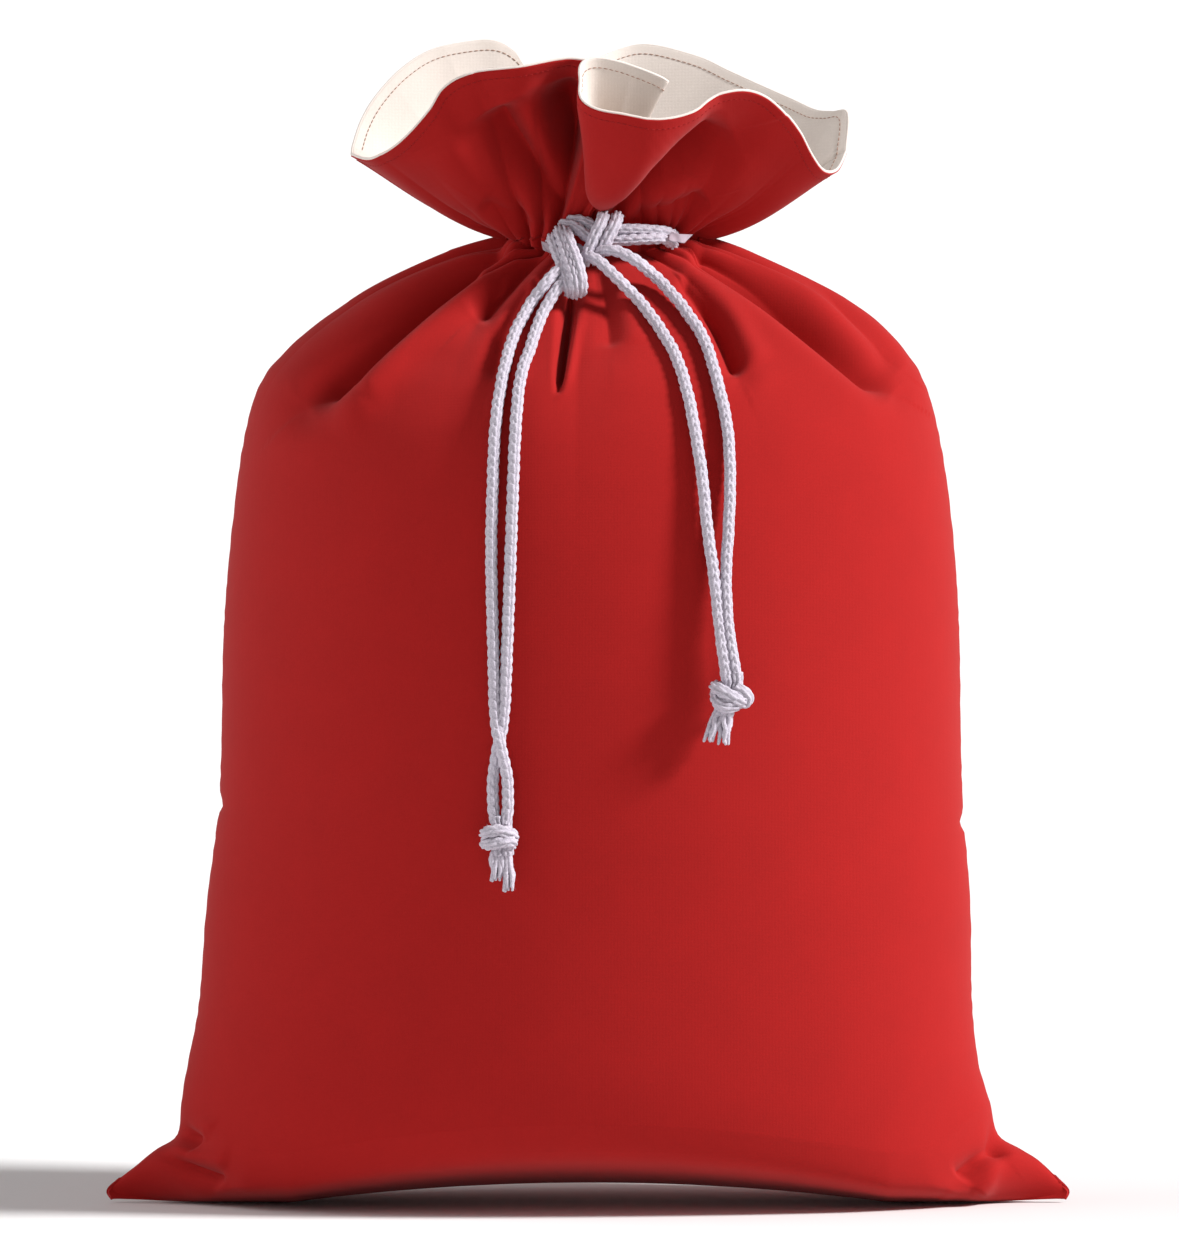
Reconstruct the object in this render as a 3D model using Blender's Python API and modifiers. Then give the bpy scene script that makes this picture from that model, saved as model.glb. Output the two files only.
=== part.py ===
"""A cotton gift sack: lined, filled out, and drawn shut at the neck by two cords knotted in front.

Metres, +Z up. The sack stands on z = 0, its front faces -Y and its side seams lie at -X and +X.
Every panel follows one surface: rings around the sack, from the bottom seam up to the mouth.
"""

import bisect
import math

import bmesh
import bpy
from mathutils import Matrix, Vector

# Cloth
OUTER_THICKNESS = 0.0012
LINING_THICKNESS = 0.0010
LINING_INSET = 0.0034  # from the red surface to the lining's nearer face
SEAM_RADIUS = 0.0011
HEM_RADIUS = 0.0012
PANEL_PARTING = 0.0015  # each outer panel's edge stands this far from the seam's middle
CORNER_PARTING = 0.0027  # and this far where a corner is squeezed flat
LINING_PARTING = 0.0008
LINING_CORNER_PARTING = 0.0034
SEAM_CLEARANCE = 0.0018  # between a seam's middle and the ends of the outer panels
GAP = 0.0004  # between pieces that touch on the real sack

# Overall form
EAR_REACH = 0.250  # from the middle to the tip of a bottom corner
FLAT_LIMIT = 0.82  # share of the half width beyond which the corners rise
ARCH_RISE, ARCH_REACH = 0.010, 0.155  # the base arches up between the two level feet
FRONT_SLOPE = 0.08  # how steeply the underside rises in front of and behind the arch's middle

# Neck and casing
NECK_LOW, NECK_HIGH = 0.493, 0.507
NECK_HALF_WIDTH, NECK_HALF_DEPTH = 0.050, 0.036
CASING_DEPTH = 0.0076  # room for a cord between the outer cloth and the lining
CASING_TAPER = 0.012
SLOT_ANGLE = math.radians(23)
SLOT_REACH = 1.6  # in half heights of the casing: where a slot has closed again

# Seams
BOTTOM_SEAM_SETBACK = 0.006  # the bottom seam ends this far short of each corner's tip
SEAM_FLOOR_GAP = 0.0001
SIDE_SEAM_TIP_LIFT = 0.0035  # lifts a side seam's foot clear of the bottom seam
COLLAR_SEAM_LOW, COLLAR_SEAM_HIGH = 0.06, 0.955  # shares of the collar's height

# Cords
CORD_DIAMETER = 0.006
CORD_RADIUS = CORD_DIAMETER / 2
CORD_STEP = 2.4 * CORD_DIAMETER
CORD_REST = CORD_RADIUS + 0.0008  # centreline to cloth where a cord lies on the sack
LEFT_RUN_HEIGHT, RIGHT_RUN_HEIGHT = 0.4967, 0.5033
RUN_INSIDE, LEAD_NEAR, LEAD_FAR = -0.0049, 0.0040, 0.0108  # from the neck's surface
# A loop's route in plan, drawn for the left side: degrees around the neck, and (x, y) at the slot
LEAD_OUT_DEGREES = (62, 45, 30)
SLOT_IN_ROUTE = ((-0.0622, -0.0095), (-0.0590, -0.0020), (-0.0525, 0.0035), (-0.0462, 0.0080))
CASING_DEGREES = range(-26, -341, -15)
SLOT_OUT_ROUTE = ((-0.0455, -0.0085), (-0.0500, -0.0062), (-0.0545, -0.0090), (-0.0550, -0.0145))
LEAD_BACK_DEGREES = (38, 52, 66)

# Rings of the body: (half width, half depth, height at the sides, height at the middle)
BASE_RINGS = [
    (EAR_REACH, 0.000, 0.0030, 0.0000),
    (0.2450, 0.030, 0.0090, 0.0000),
    (0.2360, 0.058, 0.0170, 0.0000),
    (0.2260, 0.078, 0.0260, 0.0025),
    (0.2160, 0.090, 0.0360, 0.0110),
    (0.2110, 0.097, 0.0500, 0.0300),
]
BODY_RINGS = [
    (0.2065, 0.103, 0.072),
    (0.2025, 0.109, 0.105),
    (0.1975, 0.116, 0.155),
    (0.1930, 0.122, 0.210),
    (0.1905, 0.126, 0.290),
    (0.1850, 0.127, 0.364),
    (0.1790, 0.120, 0.403),
    (0.1710, 0.108, 0.427),
    (0.1570, 0.092, 0.446),
    (0.1360, 0.074, 0.464),
    (0.1080, 0.056, 0.479),
    (0.0760, 0.042, 0.489),
    (NECK_HALF_WIDTH, NECK_HALF_DEPTH, NECK_LOW),
]
# A squeezed corner has thin sides: the plan power eases from the corner's to an ellipse's
CORNER_POWER, BODY_POWER = 1.4, 1.0
# The lining doesn't fill the corners: its base is shorter, and lies just above the outer base
LINING_BASE_SCALE, LINING_LIFT = 0.84, 0.0020

# The mouth's edge, from the left seam along the front to the right seam, then back behind
FRONT_RIM = [
    (-0.1255, -0.002, 0.547),
    (-0.1130, -0.028, 0.546),
    (-0.0990, -0.045, 0.556),
    (-0.0750, -0.066, 0.585),
    (-0.0500, -0.075, 0.594),
    (-0.0080, -0.072, 0.597),
    (0.0240, -0.063, 0.595),
    (0.0330, -0.069, 0.591),
    (0.0220, -0.077, 0.594),
    (0.0080, -0.083, 0.599),
    (0.0015, -0.092, 0.593),
    (0.0060, -0.101, 0.582),
    (0.0220, -0.105, 0.573),
    (0.0500, -0.097, 0.575),
    (0.0750, -0.085, 0.583),
    (0.1000, -0.066, 0.571),
    (0.1140, -0.044, 0.547),
    (0.1260, -0.021, 0.539),
    (0.1330, -0.002, 0.548),
]
BACK_RIM = [
    (0.1330, 0.002, 0.548),
    (0.1340, 0.016, 0.566),
    (0.1190, 0.030, 0.566),
    (0.0890, 0.056, 0.578),
    (0.0570, 0.074, 0.593),
    (0.0320, 0.080, 0.599),
    (0.0000, 0.070, 0.592),
    (-0.0180, 0.058, 0.582),
    (-0.0380, 0.070, 0.594),
    (-0.0620, 0.080, 0.598),
    (-0.0990, 0.054, 0.585),
    (-0.1200, 0.025, 0.563),
    (-0.1255, 0.002, 0.547),
]

# How far up the collar the cloth goes before the rolled edge takes over
PANEL_MOUTH_SHARE, LINING_MOUTH_SHARE = 0.972, 0.965

# Grid sizes
COLUMNS = 26
BASE_ROWS, BODY_ROWS, NECK_ROWS, COLLAR_ROWS = 5, 10, 2, 4
BOTTOM_SEAM_STEPS, COLLAR_SEAM_STEPS = 16, 5
SIDE_SEAM_BASE_STEPS, SIDE_SEAM_BODY_STEPS = 6, 20
TUBE_RESOLUTION = 2
KNOT_SEGMENTS, KNOT_RINGS = 16, 10
FRAYED_SEGMENTS = 10
LOOP_SAMPLES_EACH, LOOP_STEPS = 8, 60
LEAST_STRAND_STEPS = 8
HALVINGS = 40  # of the interval in which a height is looked up
SLOPE_STEP = 0.02  # in rows and in radians, for the direction away from the cloth

# The knot in front of the neck, and the axes on which the hanging ends lift
KNOT_TILT = math.radians(28)
KNOT_SEMI_AXES = (0.0080, 0.0085, 0.0165)
LEFT_KNOT_CENTRE = (-0.0125, -0.0525, 0.4970)
RIGHT_KNOT_CENTRE = (0.0045, -0.0525, 0.4970)
LEFT_PIVOT = (-0.0170, -0.0660, 0.4820)
RIGHT_PIVOT = (0.0095, -0.0670, 0.4945)

# Hanging cords: each starts on its pivot's line, then these (x, height) lie on the sack's front
LEFT_OUTER_START, LEFT_INNER_START = -0.0205, -0.0135
LEFT_OUTER_ROUTE = [
    (-0.0330, 0.4600),
    (-0.0415, 0.4390),
    (-0.0465, 0.4130),
    (-0.0495, 0.3700),
    (-0.0500, 0.3250),
    (-0.0490, 0.2800),
    (-0.0470, 0.2560),
    (-0.0430, 0.2330),
    (-0.0425, 0.2140),
    (-0.0445, 0.1990),
]
LEFT_INNER_ROUTE = [
    (-0.0250, 0.4600),
    (-0.0330, 0.4390),
    (-0.0380, 0.4130),
    (-0.0405, 0.3700),
    (-0.0415, 0.3250),
    (-0.0420, 0.2800),
    (-0.0440, 0.2560),
    (-0.0490, 0.2330),
    (-0.0520, 0.2140),
    (-0.0510, 0.1990),
]
RIGHT_OUTER_START, RIGHT_INNER_START = 0.0130, 0.0060
RIGHT_OUTER_ROUTE = [
    (0.0310, 0.4780),
    (0.0440, 0.4670),
    (0.0560, 0.4500),
    (0.0640, 0.4320),
    (0.0695, 0.4100),
    (0.0715, 0.3780),
    (0.0700, 0.3450),
    (0.0700, 0.3150),
    (0.0730, 0.2950),
    (0.0765, 0.2760),
]
RIGHT_INNER_ROUTE = [
    (0.0200, 0.4720),
    (0.0330, 0.4600),
    (0.0430, 0.4450),
    (0.0500, 0.4280),
    (0.0550, 0.4080),
    (0.0605, 0.3780),
    (0.0630, 0.3450),
    (0.0630, 0.3150),
    (0.0665, 0.2950),
    (0.0695, 0.2760),
]
STRAND_SWAP = 0.0074  # how far the front strand stands out where a pair crosses
CROSSING_HEIGHT, CROSSING_SPAN = 0.2450, 0.0450

END_KNOT_SEMI_AXES = (0.0090, 0.0068, 0.0062)
LEFT_END_KNOT = (-0.0478, 0.1885)
RIGHT_END_KNOT = (0.0730, 0.2655)
FRAYED_LENGTH = {"left": 0.022, "right": 0.019}
FRAYED_RADII = (0.0026, 0.0034)
FRAYED_SPACING = 0.0036
FRAYED_DROP = 0.0005  # extra gap below a stopper knot
FRAYED_LEAN = {"left": 0.10, "right": -0.42}

COLOURS = {
    "red_cotton": ((0.46, 0.020, 0.020, 1.0), 0.90),
    "natural_cotton": ((0.72, 0.66, 0.60, 1.0), 0.92),
    "white_cord": ((0.80, 0.78, 0.80, 1.0), 0.95),
}


# --- curves and blends -------------------------------------------------------------------------


def lerp(a, b, share):
    return a + (b - a) * share


def smooth_step(value):
    share = min(1.0, max(0.0, value))
    return share * share * (3.0 - 2.0 * share)


def curve_point(points, position):
    """A point on the smooth curve through the points; position counts control points."""
    index = min(int(position), len(points) - 2)
    share = position - index
    before = points[max(index - 1, 0)]
    first = points[index]
    second = points[index + 1]
    after = points[min(index + 2, len(points) - 1)]
    out = []
    for p0, p1, p2, p3 in zip(before, first, second, after):
        slope_1 = 0.5 * (p2 - p0)
        slope_2 = 0.5 * (p3 - p1)
        cubic = 2 * share**3 - 3 * share**2 + 1
        value = cubic * p1 + (1 - cubic) * p2
        value += (share**3 - 2 * share**2 + share) * slope_1
        value += (share**3 - share**2) * slope_2
        out.append(value)
    return tuple(out)


def even_curve(points, samples_each=12):
    """A function from 0..1 to the curve through the points, at an even pace along it."""
    total = (len(points) - 1) * samples_each
    fine = [Vector(curve_point(points, i / samples_each)) for i in range(total + 1)]
    lengths = [0.0]
    for a, b in zip(fine, fine[1:]):
        lengths.append(lengths[-1] + (b - a).length)

    def at(share):
        wanted = min(1.0, max(0.0, share)) * lengths[-1]
        index = min(max(bisect.bisect_left(lengths, wanted), 1), total)
        span = lengths[index] - lengths[index - 1]
        return fine[index - 1].lerp(fine[index], (wanted - lengths[index - 1]) / span)

    at.length = lengths[-1]
    return at


# --- the sack's surface ------------------------------------------------------------------------


front_rim = even_curve(FRONT_RIM)
back_rim = even_curve(BACK_RIM)
BODY_PROFILE = [(BASE_RINGS[-1][0], BASE_RINGS[-1][1], BASE_RINGS[-1][2])] + BODY_RINGS


def ring_plan(half_width, half_depth, angle, power):
    """Plan position on a ring: angle 0 is the left seam, a quarter turn is the front."""
    sine = math.sin(angle)
    depth = math.copysign(abs(sine) ** power, sine)
    return -half_width * math.cos(angle), -half_depth * depth


def arch_height(x, y):
    """Rise of the underside between the two feet."""
    inside = max(0.0, 1.0 - (x / ARCH_REACH) ** 2)
    return inside * (ARCH_RISE + FRONT_SLOPE * abs(y))


def side_share(angle):
    """0 across the base, 1 at the corners."""
    return smooth_step((abs(math.cos(angle)) - FLAT_LIMIT) / (1.0 - FLAT_LIMIT))


def base_point(row, angle, ear):
    """Row 0 is the bottom seam and the last row stands where the body proper starts."""
    half_width, half_depth, side, middle = curve_point(BASE_RINGS, row)
    rise = smooth_step(row / (len(BASE_RINGS) - 1))
    x, y = ring_plan(half_width, half_depth, angle, lerp(CORNER_POWER, BODY_POWER, rise))
    height = lerp(middle, side, side_share(angle)) + arch_height(x, y)
    if not ear:
        x *= lerp(LINING_BASE_SCALE, 1.0, rise)
        height += LINING_LIFT * (1.0 - rise)
    return Vector((x, y, height))


def body_point(row, angle):
    """Row 0 meets the base, the last row meets the neck."""
    half_width, half_depth, height = curve_point(BODY_PROFILE, row)
    x, y = ring_plan(half_width, half_depth, angle, BODY_POWER)
    fade = 1.0 - smooth_step(row / 2.0)
    if fade > 0.0:
        low = BASE_RINGS[-1][3] - BASE_RINGS[-1][2]
        height += fade * (low * (1.0 - side_share(angle)) + arch_height(x, y))
    return Vector((x, y, height))


def neck_point(share, angle):
    x, y = ring_plan(NECK_HALF_WIDTH, NECK_HALF_DEPTH, angle, BODY_POWER)
    return Vector((x, y, lerp(NECK_LOW, NECK_HIGH, share)))


def collar_point(share, angle):
    """Share 0 is the top of the casing and share 1 the mouth's edge."""
    if angle <= math.pi:
        rim = front_rim(angle / math.pi)
    else:
        rim = back_rim(angle / math.pi - 1.0)
    return neck_point(1.0, angle).lerp(rim, share)


def surface_rows(ear, mouth_share):
    """(function, position) of every row of a panel, from the bottom seam to the mouth."""
    base_last = len(BASE_RINGS) - 1
    body_last = len(BODY_PROFILE) - 1
    rows = []
    for i in range(BASE_ROWS):
        position = base_last * i / BASE_ROWS
        rows.append(lambda a, p=position: base_point(p, a, ear))
    for i in range(BODY_ROWS):
        position = body_last * i / BODY_ROWS
        rows.append(lambda a, p=position: body_point(p, a))
    for i in range(NECK_ROWS):
        rows.append(lambda a, p=i / NECK_ROWS: neck_point(p, a))
    for i in range(COLLAR_ROWS + 1):
        position = mouth_share * i / COLLAR_ROWS
        rows.append(lambda a, p=position: collar_point(p, a))
    return rows


def slot_share(height):
    """1 at the middle of the casing, 0 above and below it: how far a side slot is open."""
    middle = (NECK_LOW + NECK_HIGH) / 2
    half = (NECK_HIGH - NECK_LOW) / 2
    return smooth_step(SLOT_REACH - abs(height - middle) / half)


def panel_grid(rows, back, partings, with_slots):
    """Points of one panel, row by row, its two upright edges at the side seams."""
    start = math.pi if back else 0.0
    side = 1.0 if back else -1.0
    grid = []
    for number, row in enumerate(rows):
        parting = lerp(*partings, smooth_step((number - 1) / BASE_ROWS))
        opening = slot_share(row(start).z) * SLOT_ANGLE if with_slots else 0.0
        line = []
        for i in range(COLUMNS + 1):
            turn = lerp(opening, math.pi - opening, i / COLUMNS)
            point = row(start + turn)
            point.y += side * parting
            line.append(point)
        grid.append(line)
    return grid


def inward_normals(grid):
    """Directions into the sack; along a panel's side and bottom edges they stay in line with them."""
    rows, columns = len(grid), len(grid[0])
    normals = []
    for r in range(rows):
        line = []
        for c in range(columns):
            across = grid[r][min(c + 1, columns - 1)] - grid[r][max(c - 1, 0)]
            up = grid[min(r + 1, rows - 1)][c] - grid[max(r - 1, 0)][c]
            inward = up.cross(across)
            if r == 0 or c in (0, columns - 1):
                inward.y = 0.0
            line.append(inward.normalized())
        normals.append(line)
    return normals


def casing_share(height):
    """1 within the casing, easing to 0 just above and below it."""
    below = smooth_step((height - NECK_LOW) / CASING_TAPER + 1.0)
    above = smooth_step((NECK_HIGH - height) / CASING_TAPER + 1.0)
    return below * above


# --- making objects ----------------------------------------------------------------------------


def clear_scene():
    for item in list(bpy.data.objects):
        bpy.data.objects.remove(item, do_unlink=True)


def new_collection(name):
    collection = bpy.data.collections.new(name)
    bpy.context.scene.collection.children.link(collection)
    return collection


def cloth_material(name):
    colour, roughness = COLOURS[name]
    material = bpy.data.materials.new(name)
    material.use_nodes = True
    shader = material.node_tree.nodes["Principled BSDF"]
    shader.inputs["Base Color"].default_value = colour
    shader.inputs["Roughness"].default_value = roughness
    shader.inputs["Metallic"].default_value = 0.0
    return material


def mesh_object(name, mesh, material, collection):
    mesh.materials.append(material)
    mesh.shade_smooth()
    made = bpy.data.objects.new(name, mesh)
    collection.objects.link(made)
    return made


def shell(name, grid, thickness, material, collection):
    """An open grid of cloth, thickened inwards by Solidify."""
    surface = bmesh.new()
    vertices = [[surface.verts.new(point) for point in line] for line in grid]
    for low, high in zip(vertices, vertices[1:]):
        for c in range(len(low) - 1):
            surface.faces.new((low[c], low[c + 1], high[c + 1], high[c]))
    mesh = bpy.data.meshes.new(name)
    surface.to_mesh(mesh)
    surface.free()
    made = mesh_object(name, mesh, material, collection)
    solidify = made.modifiers.new("cloth_thickness", "SOLIDIFY")
    solidify.thickness = thickness
    solidify.offset = -1.0
    return made


def tube(name, points, radius, material, collection, closed=False):
    """A round cord or seam along the points."""
    curve = bpy.data.curves.new(name, "CURVE")
    curve.dimensions = "3D"
    curve.bevel_depth = radius
    curve.bevel_resolution = TUBE_RESOLUTION
    curve.use_fill_caps = not closed
    spline = curve.splines.new("POLY")
    spline.points.add(len(points) - 1)
    for slot, point in zip(spline.points, points):
        slot.co = (*point, 1.0)
    spline.use_cyclic_u = closed
    curve.materials.append(material)
    made = bpy.data.objects.new(name, curve)
    collection.objects.link(made)
    return made


def lump(name, centre, semi_axes, tilt, material, collection):
    """An egg-shaped solid for a knot; tilt leans its lower end forward."""
    ball = bmesh.new()
    bmesh.ops.create_uvsphere(ball, u_segments=KNOT_SEGMENTS, v_segments=KNOT_RINGS, radius=1.0)
    bmesh.ops.scale(ball, vec=semi_axes, verts=ball.verts)
    mesh = bpy.data.meshes.new(name)
    ball.to_mesh(mesh)
    ball.free()
    made = mesh_object(name, mesh, material, collection)
    made.location = centre
    made.rotation_euler = (-tilt, 0.0, 0.0)
    return made


def hang(item, pivot):
    """Parents a piece to the empty on its joint's axis, leaving it where it is."""
    item.parent = pivot
    item.matrix_parent_inverse = Matrix.Translation(pivot.location).inverted()


def pivot_empty(name, place, collection):
    empty = bpy.data.objects.new(name, None)
    empty.location = place
    collection.objects.link(empty)
    return empty


# --- cloth pieces ------------------------------------------------------------------------------


def outer_panel(name, back, material, collection):
    rows = surface_rows(True, PANEL_MOUTH_SHARE)
    grid = panel_grid(rows, back, (CORNER_PARTING, PANEL_PARTING), True)
    limit = EAR_REACH - SEAM_CLEARANCE
    for line in grid[:BASE_ROWS]:
        for point in line:
            point.x = max(-limit, min(limit, point.x * limit / EAR_REACH))
    shell(name, grid, OUTER_THICKNESS, material, collection)


def lining_panel(name, back, material, collection):
    """The lining lies inside the outer cloth, and bows in where the casing holds the cords."""
    rows = surface_rows(False, LINING_MOUTH_SHARE)
    grid = panel_grid(rows, back, (LINING_CORNER_PARTING, LINING_PARTING), False)
    normals = inward_normals(grid)
    for line, directions in zip(grid, normals):
        for i, direction in enumerate(directions):
            inset = LINING_INSET + CASING_DEPTH * casing_share(line[i].z)
            line[i] = line[i] + direction * inset
    shell(name, grid, LINING_THICKNESS, material, collection)


def bottom_seam(material, collection):
    points = []
    for i in range(BOTTOM_SEAM_STEPS + 1):
        x = lerp(-1.0, 1.0, i / BOTTOM_SEAM_STEPS) * (EAR_REACH - BOTTOM_SEAM_SETBACK)
        points.append((x, 0.0, SEAM_RADIUS + SEAM_FLOOR_GAP + arch_height(x, 0.0)))
    tube("bottom_seam", points, SEAM_RADIUS, material, collection)


def side_seam(name, angle, material, collection):
    """From the corner's tip up to the slot in the casing."""
    base_step = (len(BASE_RINGS) - 1) / SIDE_SEAM_BASE_STEPS
    body_step = (len(BODY_PROFILE) - 1) / SIDE_SEAM_BODY_STEPS
    points = [base_point(base_step * i, angle, True) for i in range(SIDE_SEAM_BASE_STEPS)]
    points += [body_point(body_step * i, angle) for i in range(SIDE_SEAM_BODY_STEPS)]
    points[0].z += SIDE_SEAM_TIP_LIFT
    tube(name, points, SEAM_RADIUS, material, collection)


def collar_seam(name, angle, material, collection):
    """From above the slot to just under the mouth's edge."""
    points = []
    for i in range(COLLAR_SEAM_STEPS + 1):
        share = lerp(COLLAR_SEAM_LOW, COLLAR_SEAM_HIGH, i / COLLAR_SEAM_STEPS)
        points.append(collar_point(share, angle))
    tube(name, points, SEAM_RADIUS, material, collection)


def mouth_hem(material, collection):
    """The rolled edge, one ring right around the mouth."""
    count = 2 * COLUMNS
    points = []
    for i in range(count):
        angle = 2 * math.pi * i / count
        point = collar_point(1.0, angle)
        if i % COLUMNS:
            point.y -= math.copysign(PANEL_PARTING, math.sin(angle))
        points.append(point)
    tube("mouth_hem", points, HEM_RADIUS, material, collection, closed=True)


# --- cord pieces -------------------------------------------------------------------------------


def beside_neck(angle, stand_off, height, side):
    """A place beside the neck; side mirrors it from the left half to the right."""
    x = -(NECK_HALF_WIDTH + stand_off) * math.cos(angle)
    depth = NECK_HALF_DEPTH + PANEL_PARTING + stand_off
    return (side * x, -depth * math.sin(angle), height)


def cord_loop(name, side, height, material, collection):
    """One drawcord: a lead from the knot, in at the slot, round the casing, and a lead back."""
    route = []
    for degrees in LEAD_OUT_DEGREES:
        route.append(beside_neck(math.radians(degrees), LEAD_FAR, height, side))
    for x, y in SLOT_IN_ROUTE:
        route.append((side * x, y, height))
    for degrees in CASING_DEGREES:
        route.append(beside_neck(math.radians(degrees), RUN_INSIDE, height, side))
    for x, y in SLOT_OUT_ROUTE:
        route.append((side * x, y, height))
    for degrees in LEAD_BACK_DEGREES:
        route.append(beside_neck(math.radians(degrees), LEAD_NEAR, height, side))
    path = even_curve(route, LOOP_SAMPLES_EACH)
    points = [path(i / LOOP_STEPS) for i in range(LOOP_STEPS + 1)]
    tube(name, points, CORD_RADIUS, material, collection)


def front_row_at(height):
    """The body row whose middle front stands at this height."""
    low, high = 0.0, len(BODY_PROFILE) - 1.0
    for _ in range(HALVINGS):
        middle = (low + high) / 2
        if body_point(middle, math.pi / 2).z < height:
            low = middle
        else:
            high = middle
    return low


def on_front(x, height, stand_off):
    """A place in front of the sack at this x and height, stand_off away from the cloth."""
    row = front_row_at(height)
    half_width = curve_point(BODY_PROFILE, row)[0]
    angle = math.acos(max(-1.0, min(1.0, -x / half_width)))
    across = body_point(row, angle + SLOPE_STEP) - body_point(row, angle - SLOPE_STEP)
    up = body_point(row + SLOPE_STEP, angle) - body_point(row - SLOPE_STEP, angle)
    outward = across.cross(up).normalized()
    place = body_point(row, angle) + outward * stand_off
    place.y -= PANEL_PARTING
    return place


def strand_points(start_x, pivot, route, bulge):
    """Centreline of a hanging strand: bulge is how far it stands out where the pair crosses."""
    points = [Vector((start_x, pivot[1], pivot[2]))]
    for x, height in route:
        crossing = 1.0 - abs(height - CROSSING_HEIGHT) / CROSSING_SPAN
        extra = bulge * smooth_step(crossing)
        points.append(on_front(x, height, CORD_REST + extra))
    path = even_curve(points)
    count = max(LEAST_STRAND_STEPS, round(path.length / CORD_STEP))
    return [path(i / count) for i in range(count + 1)]


def hanging_strand(name, points, pivot, material, collection):
    hang(tube(name, points, CORD_RADIUS, material, collection), pivot)


def end_knot(side, place, material, collection, pivot):
    """The stopper knot at the foot of a pair, and the two frayed ends below it."""
    half_depth, half_height = END_KNOT_SEMI_AXES[1], END_KNOT_SEMI_AXES[2]
    centre = on_front(place[0], place[1], half_depth + GAP)
    name = side + "_end_knot"
    hang(lump(name, centre, END_KNOT_SEMI_AXES, 0.0, material, collection), pivot)
    length = FRAYED_LENGTH[side]
    lean = FRAYED_LEAN[side]
    direction = Vector((lean, 0.0, -1.0)).normalized()
    for label, across in (("outer", -1.0), ("inner", 1.0)):
        cone = bmesh.new()
        bmesh.ops.create_cone(
            cone,
            cap_ends=True,
            segments=FRAYED_SEGMENTS,
            radius1=FRAYED_RADII[1],
            radius2=FRAYED_RADII[0],
            depth=length,
        )
        piece = side + "_frayed_end_" + label
        mesh = bpy.data.meshes.new(piece)
        cone.to_mesh(mesh)
        cone.free()
        made = mesh_object(piece, mesh, material, collection)
        top = centre + Vector((across * FRAYED_SPACING, 0.0, -half_height - GAP))
        top.z -= FRAYED_DROP
        top += direction * (FRAYED_RADII[0] * abs(lean))
        made.location = top + direction * (length / 2)
        made.rotation_euler = (0.0, math.atan2(-lean, 1.0), 0.0)
        hang(made, pivot)


def main():
    clear_scene()
    sack = new_collection("gift_sack")
    red = cloth_material("red_cotton")
    natural = cloth_material("natural_cotton")
    white = cloth_material("white_cord")

    outer_panel("outer_front_panel", False, red, sack)
    outer_panel("outer_back_panel", True, red, sack)
    lining_panel("lining_front_panel", False, natural, sack)
    lining_panel("lining_back_panel", True, natural, sack)
    bottom_seam(red, sack)
    for name, angle in (("left", 0.0), ("right", math.pi)):
        side_seam(name + "_side_seam", angle, red, sack)
        collar_seam(name + "_collar_seam", angle, red, sack)
    mouth_hem(natural, sack)

    cord_loop("left_drawcord_loop", 1.0, LEFT_RUN_HEIGHT, white, sack)
    cord_loop("right_drawcord_loop", -1.0, RIGHT_RUN_HEIGHT, white, sack)
    lump("left_cord_knot", LEFT_KNOT_CENTRE, KNOT_SEMI_AXES, KNOT_TILT, white, sack)
    lump("right_cord_knot", RIGHT_KNOT_CENTRE, KNOT_SEMI_AXES, KNOT_TILT, white, sack)

    left = pivot_empty("left_tail_pivot", LEFT_PIVOT, sack)
    outer = strand_points(LEFT_OUTER_START, LEFT_PIVOT, LEFT_OUTER_ROUTE, STRAND_SWAP)
    inner = strand_points(LEFT_INNER_START, LEFT_PIVOT, LEFT_INNER_ROUTE, 0.0)
    hanging_strand("left_tail_outer_strand", outer, left, white, sack)
    hanging_strand("left_tail_inner_strand", inner, left, white, sack)
    end_knot("left", LEFT_END_KNOT, white, sack, left)

    right = pivot_empty("right_tail_pivot", RIGHT_PIVOT, sack)
    outer = strand_points(RIGHT_OUTER_START, RIGHT_PIVOT, RIGHT_OUTER_ROUTE, 0.0)
    inner = strand_points(RIGHT_INNER_START, RIGHT_PIVOT, RIGHT_INNER_ROUTE, 0.0)
    hanging_strand("right_tail_outer_strand", outer, right, white, sack)
    hanging_strand("right_tail_inner_strand", inner, right, white, sack)
    end_knot("right", RIGHT_END_KNOT, white, sack, right)


main()
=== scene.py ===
"""Looks of the gift sack: real cloth folds, braided cords, knots and frayed ends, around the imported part.

Metres, +Z up, the front faces -Y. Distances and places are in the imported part's frame.
"""

import math

import bpy
import numpy as np
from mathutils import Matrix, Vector


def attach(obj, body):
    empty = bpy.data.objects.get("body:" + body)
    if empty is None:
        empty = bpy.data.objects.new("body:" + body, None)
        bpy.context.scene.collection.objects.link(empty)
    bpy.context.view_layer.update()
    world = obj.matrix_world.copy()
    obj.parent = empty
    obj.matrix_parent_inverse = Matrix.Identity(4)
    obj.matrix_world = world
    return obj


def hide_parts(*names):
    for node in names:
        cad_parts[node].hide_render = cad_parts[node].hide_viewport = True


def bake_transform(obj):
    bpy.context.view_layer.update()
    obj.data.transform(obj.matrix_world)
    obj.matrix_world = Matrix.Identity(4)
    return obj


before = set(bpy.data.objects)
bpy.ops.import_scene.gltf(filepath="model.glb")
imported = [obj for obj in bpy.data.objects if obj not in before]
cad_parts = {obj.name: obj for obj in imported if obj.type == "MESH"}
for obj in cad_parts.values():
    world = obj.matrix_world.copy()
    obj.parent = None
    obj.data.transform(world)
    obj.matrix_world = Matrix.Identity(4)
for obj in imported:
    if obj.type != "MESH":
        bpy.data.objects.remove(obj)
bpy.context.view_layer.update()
rng = np.random.default_rng(11)

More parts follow.
